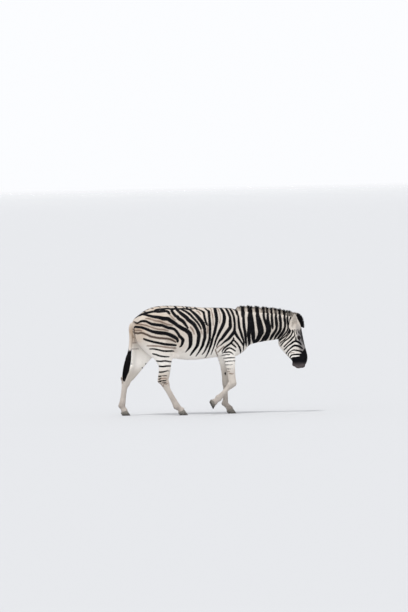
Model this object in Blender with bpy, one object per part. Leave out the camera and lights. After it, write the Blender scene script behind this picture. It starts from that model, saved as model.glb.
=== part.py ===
"""A plains zebra walking with its head low, as a life-size still model.

Metres, +Z up. The nose points along +X and the animal's left side along +Y.
The origin is on the floor under the middle of the bounding box. The flesh is
one body, grown from named sections and muscles, then parted with thin cuts.
"""
import math

import bmesh
import bpy
import numpy as np
from mathutils import Matrix, Vector

# ---------------------------------------------------------------- sizes
GAP = 0.0005          # width of the cuts that part one node from the next
GRAIN = 0.0075        # cell of the grid in which the muscles are merged
FLESH_TRIANGLES = 4400
EYE_RADIUS = 0.0215
SHIFT = 0.015         # sections are laid out this far behind the part's own frame

# Sections run (name, upper or front x, z, lower or rear x, z, half width,
# centre y, fullness, lean). Fullness 2 is an ellipse and more is squarer.
# Lean above 0 puts the widest level toward the first point.
TRUNK = (
    ("tail root", -1.002, 1.130, -1.000, 1.050, 0.030, 0.0, 2.0, 0.0),
    ("pin bones", -0.968, 1.194, -0.972, 0.960, 0.092, 0.0, 2.0, 0.0),
    ("rump", -0.900, 1.248, -0.910, 0.880, 0.145, 0.0, 2.0, 0.0),
    ("croup", -0.815, 1.305, -0.820, 0.830, 0.190, 0.0, 2.1, 0.0),
    ("sacrum", -0.700, 1.340, -0.700, 0.780, 0.218, 0.0, 2.2, 0.0),
    ("hip bones", -0.570, 1.348, -0.560, 0.720, 0.232, 0.0, 2.3, 0.0),
    ("loin", -0.430, 1.343, -0.430, 0.684, 0.240, 0.0, 2.2, -0.05),
    ("last rib", -0.270, 1.329, -0.260, 0.672, 0.258, 0.0, 2.2, -0.10),
    ("belly", -0.120, 1.315, -0.110, 0.682, 0.266, 0.0, 2.2, -0.12),
    ("ribs", 0.020, 1.312, 0.020, 0.698, 0.250, 0.0, 2.2, -0.12),
    ("girth", 0.140, 1.306, 0.130, 0.700, 0.216, 0.0, 2.1, -0.15),
    ("withers", 0.240, 1.297, 0.230, 0.696, 0.188, 0.0, 2.0, -0.20),
    ("shoulder", 0.310, 1.262, 0.320, 0.726, 0.172, 0.0, 2.0, -0.20),
    ("breast", 0.380, 1.190, 0.390, 0.778, 0.140, 0.0, 2.0, -0.12),
    ("breast end", 0.430, 1.080, 0.440, 0.835, 0.085, 0.0, 2.0, 0.0),
)
NECK = (
    ("in the withers", 0.170, 1.270, 0.240, 0.760, 0.120, 0.0, 2.0, -0.25),
    ("neck root", 0.300, 1.266, 0.370, 0.772, 0.140, 0.0, 2.0, -0.32),
    ("low neck", 0.410, 1.256, 0.450, 0.838, 0.122, 0.0, 2.0, -0.28),
    ("wide stripe", 0.530, 1.246, 0.530, 0.861, 0.102, 0.0, 2.0, -0.18),
    ("mid neck", 0.650, 1.236, 0.610, 0.876, 0.094, 0.0, 2.0, -0.12),
    ("upper neck", 0.770, 1.222, 0.690, 0.887, 0.088, 0.0, 2.0, -0.08),
    ("nape", 0.880, 1.206, 0.750, 0.893, 0.083, 0.0, 2.0, -0.05),
    ("poll", 0.965, 1.182, 0.805, 0.905, 0.076, 0.0, 2.1, 0.0),
    ("in the skull", 1.020, 1.140, 0.870, 0.920, 0.060, 0.0, 2.1, 0.0),
)
HEAD = (
    ("crown", 1.010, 1.180, 0.940, 1.140, 0.040, 0.0, 2.0, 0.1),
    ("ear level", 1.058, 1.130, 0.880, 1.040, 0.074, 0.0, 2.1, 0.15),
    ("temple", 1.085, 1.060, 0.835, 0.960, 0.084, 0.0, 2.2, 0.20),
    ("brow", 1.097, 0.990, 0.802, 0.895, 0.092, 0.0, 2.3, 0.26),
    ("eye level", 1.106, 0.935, 0.800, 0.845, 0.092, 0.0, 2.4, 0.30),
    ("cheek", 1.115, 0.885, 0.822, 0.795, 0.083, 0.0, 2.4, 0.24),
    ("under the cheek", 1.124, 0.840, 0.852, 0.757, 0.072, 0.0, 2.4, 0.14),
    ("nose bone", 1.134, 0.795, 0.880, 0.724, 0.062, 0.0, 2.4, 0.08),
    ("bars", 1.146, 0.750, 0.912, 0.688, 0.055, 0.0, 2.3, 0.04),
    ("above the nostril", 1.156, 0.705, 0.938, 0.662, 0.052, 0.0, 2.3, 0.08),
    ("nostril", 1.158, 0.655, 0.962, 0.634, 0.053, 0.0, 2.4, 0.14),
    ("muzzle", 1.148, 0.618, 0.965, 0.605, 0.052, 0.0, 2.5, 0.05),
    ("lips", 1.134, 0.588, 0.973, 0.580, 0.044, 0.0, 2.5, 0.0),
    ("lip ends", 1.095, 0.553, 1.010, 0.560, 0.030, 0.0, 2.3, 0.0),
)
# The right thigh is carried forward and the left thigh is drawn back.
RIGHT_THIGH = (
    ("hip", -0.560, 1.130, -0.935, 1.130, 0.080, -0.110, 2.0, 0.0),
    ("seat", -0.500, 1.030, -0.971, 1.045, 0.096, -0.118, 2.1, 0.0),
    ("haunch", -0.468, 0.930, -0.957, 0.935, 0.102, -0.124, 2.1, 0.05),
    ("breeches", -0.466, 0.840, -0.898, 0.850, 0.098, -0.130, 2.1, 0.12),
    ("stifle", -0.482, 0.760, -0.815, 0.765, 0.086, -0.134, 2.1, 0.20),
    ("gaskin", -0.503, 0.690, -0.735, 0.700, 0.070, -0.135, 2.1, 0.10),
    ("low gaskin", -0.528, 0.620, -0.686, 0.628, 0.050, -0.136, 2.1, 0.0),
)
LEFT_THIGH = (
    ("hip", -0.560, 1.130, -0.935, 1.130, 0.080, 0.110, 2.0, 0.0),
    ("seat", -0.540, 1.030, -0.980, 1.050, 0.096, 0.118, 2.1, 0.0),
    ("haunch", -0.570, 0.930, -0.998, 0.950, 0.100, 0.120, 2.1, 0.05),
    ("breeches", -0.640, 0.835, -1.006, 0.860, 0.094, 0.120, 2.1, 0.12),
    ("stifle", -0.720, 0.742, -1.008, 0.790, 0.082, 0.120, 2.1, 0.20),
    ("gaskin", -0.806, 0.664, -1.014, 0.722, 0.066, 0.121, 2.1, 0.10),
    ("low gaskin", -0.885, 0.592, -1.026, 0.650, 0.048, 0.121, 2.1, 0.0),
)
# Below the stifle and the elbow all is set off from the line of the joints.
# Rows run (joint, part of the way to the next joint, fore, rear, half width).
HIND_LIMB = (
    (0, 0.00, 0.075, 0.215, 0.080),
    (0, 0.22, 0.068, 0.128, 0.068),
    (0, 0.45, 0.070, 0.086, 0.052),
    (0, 0.70, 0.070, 0.074, 0.042),
    (0, 0.88, 0.070, 0.075, 0.042),
    (1, 0.00, 0.066, 0.072, 0.044),
    (1, 0.14, 0.054, 0.058, 0.038),
    (1, 0.32, 0.032, 0.045, 0.028),
    (1, 0.60, 0.030, 0.042, 0.026),
    (1, 0.84, 0.034, 0.045, 0.029),
    (2, 0.00, 0.038, 0.052, 0.034),
    (2, 0.50, 0.034, 0.038, 0.030),
    (2, 1.00, 0.042, 0.044, 0.037),
)
FORE_LIMB = (
    (0, -0.22, 0.095, 0.095, 0.070),
    (0, 0.00, 0.088, 0.080, 0.066),
    (0, 0.28, 0.072, 0.058, 0.054),
    (0, 0.60, 0.056, 0.046, 0.041),
    (0, 0.84, 0.052, 0.046, 0.038),
    (1, 0.00, 0.056, 0.050, 0.040),
    (1, 0.16, 0.044, 0.044, 0.034),
    (1, 0.36, 0.030, 0.034, 0.026),
    (1, 0.62, 0.029, 0.033, 0.024),
    (1, 0.86, 0.034, 0.040, 0.029),
    (2, 0.00, 0.038, 0.050, 0.033),
    (2, 0.50, 0.033, 0.036, 0.030),
    (2, 1.00, 0.042, 0.044, 0.037),
)
# Joint centres: stifle or elbow, hock or knee, fetlock, top of the hoof.
LIMBS = {
    "hind_right": (HIND_LIMB, ((-0.572, -0.134, 0.745), (-0.622, -0.136, 0.432),
                               (-0.458, -0.138, 0.112), (-0.408, -0.140, 0.060))),
    "hind_left": (HIND_LIMB, ((-0.805, 0.120, 0.760), (-1.083, 0.122, 0.440),
                              (-1.136, 0.120, 0.120), (-1.112, 0.118, 0.060))),
    "fore_right": (FORE_LIMB, ((0.186, -0.120, 0.720), (0.222, -0.116, 0.378),
                               (0.054, -0.112, 0.193), (-0.002, -0.111, 0.151))),
    "fore_left": (FORE_LIMB, ((0.118, 0.112, 0.720), (0.146, 0.098, 0.400),
                              (0.134, 0.088, 0.128), (0.184, 0.086, 0.060))),
}
# Middle of each sole on the ground and the pitch of the hoof in degrees.
SOLES = {
    "hind_right": (-0.384, -0.140, 0.000, 0.0),
    "hind_left": (-1.093, 0.118, 0.000, 0.0),
    "fore_right": (-0.044, -0.111, 0.112, 64.0),
    "fore_left": (0.210, 0.086, 0.000, 0.0),
}
HOOF_LENGTH = 0.112
HOOF_WIDTH = 0.088
HOOF_TOE_HEIGHT = 0.066
HOOF_HEEL_HEIGHT = 0.034
HOOF_LEAN = 0.042     # how far the toe wall leans back up to the coronet

# Muscles and bony places: (x, y, z), (radii), lean in degrees about Y.
# A place off the middle is made on both sides.
MUSCLES = (
    ("shoulder blade", (0.222, 0.118, 1.030), (0.105, 0.070, 0.210), 14.0),
    ("upper arm", (0.262, 0.108, 0.852), (0.125, 0.070, 0.100), -28.0),
    ("point of shoulder", (0.335, 0.072, 0.838), (0.072, 0.062, 0.080), 0.0),
    ("triceps", (0.140, 0.120, 0.815), (0.100, 0.064, 0.120), 28.0),
    ("brisket", (0.240, 0.040, 0.765), (0.130, 0.070, 0.060), -12.0),
    ("hip bone", (-0.560, 0.140, 1.165), (0.130, 0.078, 0.120), 0.0),
    ("buttock", (-0.830, 0.110, 1.070), (0.150, 0.086, 0.170), 15.0),
    ("flank fold", (-0.455, 0.100, 0.790), (0.085, 0.070, 0.100), 25.0),
)
FACE = (
    ("eye socket", (1.046, 0.074, 0.918), (0.036, 0.026, 0.042), 12.0),
    ("cheekbone", (1.020, 0.070, 0.845), (0.024, 0.020, 0.075), 12.0),
    ("jaw muscle", (0.893, 0.050, 0.858), (0.078, 0.036, 0.098), -28.0),
    ("nostril rim", (1.118, 0.034, 0.634), (0.028, 0.026, 0.040), 10.0),
    ("upper lip", (1.090, 0.014, 0.576), (0.038, 0.036, 0.036), 0.0),
    ("lower lip", (1.036, 0.010, 0.562), (0.040, 0.030, 0.026), 10.0),
    ("chin", (0.994, 0.010, 0.590), (0.032, 0.034, 0.030), 0.0),
    ("ear root", (0.995, 0.050, 1.058), (0.040, 0.034, 0.048), 0.0),
)
EYE = (1.052, 0.0835, 0.918)

# Upright mane: (x, top z, base z, half width at the base).
MANE = (
    (0.275, 1.300, 1.255, 0.012),
    (0.320, 1.326, 1.235, 0.022),
    (0.400, 1.332, 1.228, 0.026),
    (0.500, 1.324, 1.220, 0.027),
    (0.600, 1.314, 1.212, 0.027),
    (0.700, 1.304, 1.202, 0.027),
    (0.800, 1.290, 1.190, 0.027),
    (0.880, 1.270, 1.176, 0.027),
    (0.950, 1.255, 1.160, 0.026),
    (1.000, 1.248, 1.145, 0.024),
    (1.038, 1.236, 1.130, 0.022),
    (1.068, 1.216, 1.120, 0.018),
)
TAIL = (
    ("dock root", -0.965, 1.165, -0.965, 1.095, 0.026, 0.0, 2.0, 0.0),
    ("dock bend", -1.014, 1.136, -0.984, 1.084, 0.027, 0.0, 2.0, 0.0),
    ("dock turn", -1.034, 1.085, -0.986, 1.062, 0.026, 0.0, 2.0, 0.0),
    ("upper dock", -1.031, 1.000, -0.985, 1.000, 0.024, 0.0, 2.0, 0.0),
    ("mid dock", -1.033, 0.920, -0.992, 0.920, 0.022, 0.0, 2.0, 0.0),
    ("low dock", -1.041, 0.850, -1.000, 0.850, 0.021, 0.0, 2.0, 0.0),
    ("dock end", -1.056, 0.790, -1.004, 0.790, 0.023, 0.0, 2.0, 0.0),
)
TUFT = (
    ("tuft root", -1.056, 0.789, -1.004, 0.789, 0.023, 0.0, 2.0, 0.0),
    ("tuft", -1.074, 0.740, -1.008, 0.740, 0.030, 0.0, 2.0, 0.0),
    ("full tuft", -1.104, 0.650, -1.015, 0.650, 0.036, 0.0, 2.0, 0.0),
    ("low tuft", -1.130, 0.550, -1.036, 0.550, 0.032, 0.0, 2.0, 0.0),
    ("thin tuft", -1.140, 0.480, -1.072, 0.480, 0.020, 0.0, 2.0, 0.0),
    ("tuft end", -1.122, 0.420, -1.096, 0.420, 0.006, 0.0, 2.0, 0.0),
)


# ---------------------------------------------------------------- helpers
def clear_scene():
    for item in list(bpy.data.objects):
        bpy.data.objects.remove(item, do_unlink=True)


def mesh_object(name, verts, faces):
    mesh = bpy.data.meshes.new(name)
    mesh.from_pydata([tuple(v) for v in verts], [], faces)
    mesh.validate()
    made = bpy.data.objects.new(name, mesh)
    bpy.context.scene.collection.objects.link(made)
    turn_outward(made)
    return made


def turn_outward(item):
    bm = bmesh.new()
    bm.from_mesh(item.data)
    bmesh.ops.recalc_face_normals(bm, faces=bm.faces)
    bmesh.ops.triangulate(bm, faces=bm.faces)
    bm.to_mesh(item.data)
    bm.free()


def spline(rows, steps):
    """Smooth rows of numbers through the given rows, both ends kept."""
    rows = np.array(rows, float)
    padded = np.vstack([2 * rows[0] - rows[1], rows, 2 * rows[-1] - rows[-2]])
    out = []
    for i in range(len(rows) - 1):
        a, b, c, d = padded[i:i + 4]
        for k in range(steps):
            t = k / steps
            out.append(0.5 * (2 * b + (c - a) * t
                              + (2 * a - 5 * b + 4 * c - d) * t * t
                              + (3 * b - a - 3 * c + d) * t ** 3))
    out.append(rows[-1])
    return np.array(out)


def power_of(value, power):
    return math.copysign(abs(value) ** (2.0 / power), value)


def loft(name, rows, steps=4, around=32):
    """A closed skin through rows of (x, z, x, z, half width, y, fullness, lean)."""
    verts = []
    smooth_rows = spline(rows, steps)
    for x1, z1, x2, z2, half, y, power, lean in smooth_rows:
        middle = Vector(((x1 + x2) / 2, y, (z1 + z2) / 2))
        reach = Vector(((x1 - x2) / 2, 0, (z1 - z2) / 2))
        for k in range(around):
            turn = 2 * math.pi * k / around
            up = power_of(math.cos(turn), power)
            side = power_of(math.sin(turn), power)
            verts.append(middle + reach * up
                         + Vector((0, half * side * (1 + lean * up), 0)))
    rings = len(smooth_rows)
    faces = [list(range(around)), list(range((rings - 1) * around, rings * around))]
    for r in range(rings - 1):
        for k in range(around):
            n = (k + 1) % around
            faces.append([r * around + k, r * around + n,
                          (r + 1) * around + n, (r + 1) * around + k])
    return mesh_object(name, verts, faces)


def section_loft(name, sections):
    return loft(name, [row[1:] for row in sections])


def limb_rows(table, joints):
    """Rows of a limb: each lies square to the line of the joints at its place."""
    joints = [Vector(j) for j in joints]
    bones = [(b - a).normalized() for a, b in zip(joints, joints[1:])]
    rows = []
    for joint, part, fore, rear, half in table:
        place = joints[joint].lerp(joints[joint + 1], part) if part >= 0 else (
            joints[joint] + (joints[joint + 1] - joints[joint]) * part)
        along = bones[joint].copy()
        if part < 0.15 and joint > 0:
            along = (bones[joint - 1] + bones[joint]).normalized()
        if part > 0.85 and joint < len(bones) - 1:
            along = (bones[joint] * 2 + bones[joint + 1]).normalized()
        ahead = Vector((-along.z, 0, along.x)).normalized()
        front = place + ahead * fore
        back = place - ahead * rear
        rows.append((front.x, front.z, back.x, back.z, half, place.y, 2.1, 0.05))
    return rows


def ball(name, centre, radii, lean=0.0, level=4):
    bm = bmesh.new()
    bmesh.ops.create_icosphere(bm, subdivisions=level, radius=1.0)
    bm.transform(Matrix.Translation(centre)
                 @ Matrix.Rotation(math.radians(lean), 4, "Y")
                 @ Matrix.Diagonal((*radii, 1)))
    mesh = bpy.data.meshes.new(name)
    bm.to_mesh(mesh)
    bm.free()
    made = bpy.data.objects.new(name, mesh)
    bpy.context.scene.collection.objects.link(made)
    return made


def both_sides(table):
    made = []
    for name, (x, y, z), radii, lean in table:
        for side in (-1, 1):
            made.append(ball(name, (x, side * y, z), radii, lean))
    return made


def join(items, name):
    """One mesh holding all the given objects, which go away."""
    bm = bmesh.new()
    for item in items:
        bm.from_mesh(item.data)
        bpy.data.objects.remove(item, do_unlink=True)
    mesh = bpy.data.meshes.new(name)
    bm.to_mesh(mesh)
    bm.free()
    made = bpy.data.objects.new(name, mesh)
    bpy.context.scene.collection.objects.link(made)
    return made


def settle(item):
    """Take the object with its modifiers as its plain mesh."""
    graph = bpy.context.evaluated_depsgraph_get()
    graph.update()
    mesh = bpy.data.meshes.new_from_object(item.evaluated_get(graph))
    item.modifiers.clear()
    item.data = mesh


def merge(item, grain):
    grid = item.modifiers.new("merge", "REMESH")
    grid.mode = "VOXEL"
    grid.voxel_size = grain
    grid.adaptivity = 0.0
    settle(item)


def broad(points):
    """How far each point may be smoothed: fully on the trunk, less on fine parts."""
    body = np.clip((points[:, 2] - 0.62) / 0.12, 0, 1)
    body = body * np.clip((0.86 - points[:, 0]) / 0.10, 0, 1)
    return 0.12 + 0.88 * body[:, None]


def relax(item, rounds):
    """Smooth the surface without letting it shrink."""
    mesh = item.data
    count = len(mesh.vertices)
    points = np.empty(count * 3)
    mesh.vertices.foreach_get("co", points)
    points = points.reshape(-1, 3)
    ends = np.empty(len(mesh.edges) * 2, int)
    mesh.edges.foreach_get("vertices", ends)
    ends = ends.reshape(-1, 2)
    degree = np.bincount(ends.ravel(), minlength=count)[:, None]
    share = broad(points)
    for turn in range(rounds):
        part = 1.0 if turn < 6 else share
        for push in (0.60, -0.61):
            total = np.zeros_like(points)
            for axis in range(3):
                total[:, axis] = (
                    np.bincount(ends[:, 0], points[ends[:, 1], axis], count)
                    + np.bincount(ends[:, 1], points[ends[:, 0], axis], count))
            points = points + push * part * (total / degree - points)
    mesh.vertices.foreach_set("co", points.ravel())
    mesh.update()


def thin_out(item, triangles):
    now = sum(len(p.vertices) - 2 for p in item.data.polygons)
    fewer = item.modifiers.new("fewer", "DECIMATE")
    fewer.ratio = min(1.0, triangles / now)
    settle(item)


def combine(item, cutter, how, solver="EXACT"):
    step = item.modifiers.new(how, "BOOLEAN")
    step.operation = how
    step.object = cutter
    step.solver = solver
    settle(item)


def copy_of(item, name):
    made = bpy.data.objects.new(name, item.data.copy())
    bpy.context.scene.collection.objects.link(made)
    return made


def drop(item):
    bpy.data.objects.remove(item, do_unlink=True)


def grown(item, amount):
    """A copy of the object pushed outward along its normals."""
    made = copy_of(item, "grown")
    push = made.modifiers.new("push", "DISPLACE")
    push.strength = amount
    push.mid_level = 0.0
    settle(made)
    return made


def fit_against(item, others):
    """Cut the object back until it clears each of the others by the gap."""
    for other in others:
        fat = grown(other, GAP * 2)
        combine(item, fat, "DIFFERENCE", "MANIFOLD")
        drop(fat)


def half_space(point, along):
    """A big box whose near face passes through the point, square to along."""
    along = Vector(along).normalized()
    turn = along.to_track_quat("Z", "Y").to_matrix().to_4x4()
    bm = bmesh.new()
    bmesh.ops.create_cube(bm, size=4.0)
    bm.transform(Matrix.Translation(point) @ turn @ Matrix.Translation((0, 0, 2.0)))
    mesh = bpy.data.meshes.new("half space")
    bm.to_mesh(mesh)
    bm.free()
    made = bpy.data.objects.new("half space", mesh)
    bpy.context.scene.collection.objects.link(made)
    return made


def part_off(item, name, point, along):
    """Part the object at a plane; what lies along the normal is the new node."""
    point = Vector(point)
    along = Vector(along).normalized()
    new = copy_of(item, name)
    ahead = half_space(point - along * GAP / 2, along)
    combine(item, ahead, "DIFFERENCE")
    drop(ahead)
    behind = half_space(point + along * GAP / 2, -along)
    combine(new, behind, "DIFFERENCE")
    drop(behind)
    return new


def prism(outline, low, high):
    """An upright-sided solid with the given (x, z) outline between two y."""
    count = len(outline)
    verts = [(x, low, z) for x, z in outline] + [(x, high, z) for x, z in outline]
    faces = [list(range(count)), list(range(count, 2 * count))]
    for k in range(count):
        n = (k + 1) % count
        faces.append([k, n, count + n, count + k])
    return mesh_object("prism", verts, faces)


def leg_region(side, inset):
    """All that belongs to one hind leg: a round top over the haunch."""
    reach = 0.335 - inset
    arc = []
    for k in range(13):
        turn = math.radians(-8 + 145 * k / 12)
        arc.append((-0.765 + reach * math.cos(turn), 0.800 + reach * math.sin(turn)))
    front = arc[0][0]
    outline = arc + [(-1.30, arc[-1][1]), (-1.30, -0.1), (-0.20, -0.1),
                     (-0.20, 0.62), (front, 0.62)]
    low, high = sorted((side * inset / 2, side * 0.5))
    return prism(outline, low, high)


def foreleg_region(inset):
    """Both forelegs below the elbows, clear of the belly behind them."""
    top = 0.674 - inset
    return prism([(0.45, top), (0.03, top), (0.03, 0.55), (-0.20, 0.55),
                  (-0.20, -0.1), (0.45, -0.1)], -0.5, 0.5)


def slot(name, colour, roughness, metallic=0.0):
    made = bpy.data.materials.new(name)
    made.use_nodes = True
    shader = made.node_tree.nodes["Principled BSDF"]
    shader.inputs["Base Color"].default_value = (*colour, 1)
    shader.inputs["Roughness"].default_value = roughness
    shader.inputs["Metallic"].default_value = metallic
    return made


def finish_node(item, name, origin, material):
    """Name the node, put its origin at its natural place and shade it smooth."""
    item.name = name
    item.data.name = name
    bm = bmesh.new()
    bm.from_mesh(item.data)
    bmesh.ops.dissolve_degenerate(bm, dist=0.00005, edges=bm.edges)
    bmesh.ops.triangulate(bm, faces=bm.faces)
    bmesh.ops.recalc_face_normals(bm, faces=bm.faces)
    bm.to_mesh(item.data)
    bm.free()
    item.data.transform(Matrix.Translation(-Vector(origin)))
    item.location = Vector(origin) + Vector((SHIFT, 0, 0))
    item.data.materials.clear()
    item.data.materials.append(material)
    for face in item.data.polygons:
        face.use_smooth = True


# ---------------------------------------------------------------- pieces
def hoof(name, place):
    """A hoof with a flat sole; its wall leans back to the coronet."""
    x, y, z, pitch = place
    around = 20
    levels = (0.0, 0.10, 0.55, 1.0)
    verts = []
    for level in levels:
        flare = 1.0 - 0.16 * level
        for k in range(around):
            turn = 2 * math.pi * k / around
            ahead = math.cos(turn)
            width = math.sin(turn)
            blunt = 1.0 - 0.10 * max(0.0, -ahead)
            height = (HOOF_TOE_HEIGHT + HOOF_HEEL_HEIGHT) / 2 + ahead * (
                HOOF_TOE_HEIGHT - HOOF_HEEL_HEIGHT) / 2
            verts.append((
                HOOF_LENGTH / 2 * ahead * blunt * (1 - 0.22 * level) - HOOF_LEAN * 0.72 * level,
                HOOF_WIDTH / 2 * width * flare,
                height * level))
    top = len(verts)
    verts.append((-HOOF_LEAN * 0.72, 0.0, (HOOF_TOE_HEIGHT + HOOF_HEEL_HEIGHT) / 2))
    faces = [list(range(around))]
    for r in range(3):
        for k in range(around):
            n = (k + 1) % around
            faces.append([r * around + k, r * around + n,
                          (r + 1) * around + n, (r + 1) * around + k])
    faces += [[3 * around + k, 3 * around + (k + 1) % around, top] for k in range(around)]
    made = mesh_object(name, verts, faces)
    made.data.transform(Matrix.Translation((x, y, z))
                        @ Matrix.Rotation(math.radians(pitch), 4, "Y"))
    return made


def ear(name, side):
    """A leaf-shaped cup, open to its own side, with a rolled edge."""
    length = 0.205
    steps = 9
    half = 7
    thick = 0.0065
    outer = []
    inner = []
    for r in range(steps + 1):
        t = r / steps
        width = 0.050 * (math.sin(math.pi * min(1.0, 0.20 + 0.80 * t) ** 1.15) ** 0.75)
        width = max(width, 0.006) * (1.0 if t < 0.97 else 0.75)
        open_turn = math.radians(165 - 55 * t)
        for k in range(half + 1):
            turn = (k / half * 2 - 1) * open_turn
            px = width * math.sin(turn) * (0.95 if t > 0.2 else 0.85)
            py = width * 0.62 * math.cos(turn)
            outer.append(Vector((px, -py, t * length)))
            shrink = max(0.25, 1 - thick / width)
            inner.append(Vector((px * shrink, -py * shrink + 0.001, t * length
                                 - (0.004 if r == steps else 0))))
    row = half + 1
    verts = outer + inner
    shift = len(outer)
    faces = []
    for r in range(steps):
        for k in range(half):
            a = r * row + k
            faces.append([a, a + 1, a + row + 1, a + row])
            faces.append([shift + a, shift + a + row, shift + a + row + 1, shift + a + 1])
        left = r * row
        right = r * row + half
        faces.append([left, left + row, shift + left + row, shift + left])
        faces.append([right, shift + right, shift + right + row, right + row])
    top = steps * row
    for k in range(half):
        faces.append([k, shift + k, shift + k + 1, k + 1])
        faces.append([top + k, top + k + 1, shift + top + k + 1, shift + top + k])
    made = mesh_object(name, verts, faces)
    made.data.transform(Matrix.Translation((0.998, side * 0.054, 1.012))
                        @ Matrix.Rotation(math.radians(-side * 14), 4, "X")
                        @ Matrix.Rotation(math.radians(3), 4, "Y")
                        @ Matrix.Rotation(math.radians(0 if side > 0 else 180), 4, "Z"))
    return made


def mane_blade(name):
    """The upright mane: a blade that narrows upward and rises from the crest."""
    rows = spline(MANE, 2)
    verts = []
    for x, top, base, half in rows:
        verts += [(x, -half, base), (x, -half * 0.80, base + (top - base) * 0.75),
                  (x, 0.0, top),
                  (x, half * 0.80, base + (top - base) * 0.75), (x, half, base)]
    faces = [[0, 1, 2, 3, 4], [5 * (len(rows) - 1) + k for k in range(5)]]
    for r in range(len(rows) - 1):
        for k in range(5):
            n = (k + 1) % 5
            faces.append([5 * r + k, 5 * r + n, 5 * (r + 1) + n, 5 * (r + 1) + k])
    return mesh_object(name, verts, faces)


def forelock(name):
    rows = [(1.068, 1.217, 1.025, 1.170, 0.022, 0, 2.0, 0),
            (1.103, 1.185, 1.042, 1.140, 0.027, 0, 2.0, 0),
            (1.121, 1.130, 1.056, 1.105, 0.028, 0, 2.0, 0),
            (1.127, 1.080, 1.064, 1.070, 0.025, 0, 2.0, 0),
            (1.122, 1.042, 1.078, 1.040, 0.018, 0, 2.0, 0)]
    return loft(name, rows, steps=2, around=12)


def flesh_body():
    """Trunk, neck, head and limbs, merged into one smooth body."""
    parts = [section_loft("trunk", TRUNK), section_loft("neck", NECK),
             section_loft("head", HEAD), section_loft("thigh", RIGHT_THIGH),
             section_loft("thigh", LEFT_THIGH)]
    for table, joints in LIMBS.values():
        parts.append(loft("limb", limb_rows(table, joints)))
    parts += both_sides(MUSCLES) + both_sides(FACE)
    body = join(parts, "flesh")
    merge(body, GRAIN)
    relax(body, 40)
    thin_out(body, FLESH_TRIANGLES)
    return body


def build():
    clear_scene()
    coat = slot("striped_coat", (0.55, 0.50, 0.44), 0.85)
    horn = slot("hoof_horn", (0.10, 0.09, 0.08), 0.55)
    hair = slot("mane_hair", (0.12, 0.11, 0.11), 0.80)
    eye_slot = slot("eye", (0.015, 0.010, 0.008), 0.08)

    body = flesh_body()

    hooves = {}
    for leg, place in SOLES.items():
        hooves[leg] = hoof(leg + "_hoof", place)
    for leg, place in SOLES.items():
        fat = grown(hooves[leg], GAP * 1.5)
        combine(body, fat, "DIFFERENCE")
        drop(fat)

    whole = copy_of(body, "whole")
    legs = {}
    for leg, side in (("hind_right", -1), ("hind_left", 1)):
        thigh = copy_of(body, leg)
        region = leg_region(side, GAP)
        combine(thigh, region, "INTERSECT")
        drop(region)
        legs[leg] = thigh
    for side in (-1, 1):
        region = leg_region(side, 0.0)
        combine(body, region, "DIFFERENCE")
        drop(region)

    head = part_off(body, "head", (0.885, 0, 1.045), (0.87, 0, -0.49))
    neck = part_off(body, "neck", (0.345, 0, 1.045), (0.955, 0, 0.296))
    fore = copy_of(body, "fore_right")
    region = foreleg_region(GAP)
    combine(fore, region, "INTERSECT")
    drop(region)
    region = foreleg_region(0.0)
    combine(body, region, "DIFFERENCE")
    drop(region)
    legs["fore_left"] = part_off(fore, "fore_left", (0, 0, 0.5), (0, 1, 0))
    legs["fore_right"] = fore

    nodes = [(body, "trunk", (-0.25, 0, 1.0), coat), (neck, "neck", (0.36, 0, 1.05), coat)]
    for side, word in ((-1, "right"), (1, "left")):
        place = (EYE[0], side * EYE[1], EYE[2])
        socket = ball("socket", place, (EYE_RADIUS + 0.0008,) * 3, level=2)
        combine(head, socket, "DIFFERENCE")
        drop(socket)
        globe = ball("globe", place, (EYE_RADIUS,) * 3, level=2)
        nodes.append((globe, "eye_" + word, place, eye_slot))
    for side, word in ((-1, "right"), (1, "left")):
        cup = ear("cup", side)
        fit_against(cup, [whole])
        nodes.append((cup, "ear_" + word, (0.996, side * 0.055, 1.035), coat))
    lock = forelock("lock")
    fit_against(lock, [whole])
    blade = mane_blade("blade")
    fit_against(blade, [whole, lock])
    nodes += [(lock, "forelock", (1.06, 0, 1.17), hair), (blade, "mane", (0.6, 0, 1.23), hair),
              (head, "head", (0.92, 0, 1.05), coat)]

    dock = loft("dock", [row[1:] for row in TAIL], 2, 12)
    tuft = loft("tuft", [row[1:] for row in TUFT], 2, 14)
    fit_against(dock, [whole])
    fit_against(tuft, [whole])
    drop(whole)
    nodes += [(dock, "tail", (-0.99, 0, 1.1), coat), (tuft, "tail_tuft", (-1.03, 0, 0.789), hair)]

    for leg, item in legs.items():
        joints = [Vector(j) for j in LIMBS[leg][1]]
        lower = part_off(item, "lower", joints[1], joints[2] - joints[0])
        nodes += [(item, leg + "_upper", joints[0], coat), (lower, leg + "_lower", joints[1], coat),
                  (hooves[leg], leg + "_hoof", joints[3], horn)]
    for node in nodes:
        finish_node(*node)


build()
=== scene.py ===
"""A plains zebra walking with its head low: skin, markings, coat, mane and tail.

Runs in Blender 4.5 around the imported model. Lengths are in metres, and in
millimetres in the rows of the tables, where nothing else is said. Sections and
markings are laid out SHIFT metres behind the model's frame.
"""

import math
from contextlib import contextmanager
from itertools import takewhile

import bmesh
import bpy
import numpy as np
from bpy.props import FloatProperty, FloatVectorProperty, IntProperty, PointerProperty
from mathutils import Matrix, Vector
from mathutils.bvhtree import BVHTree


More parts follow.
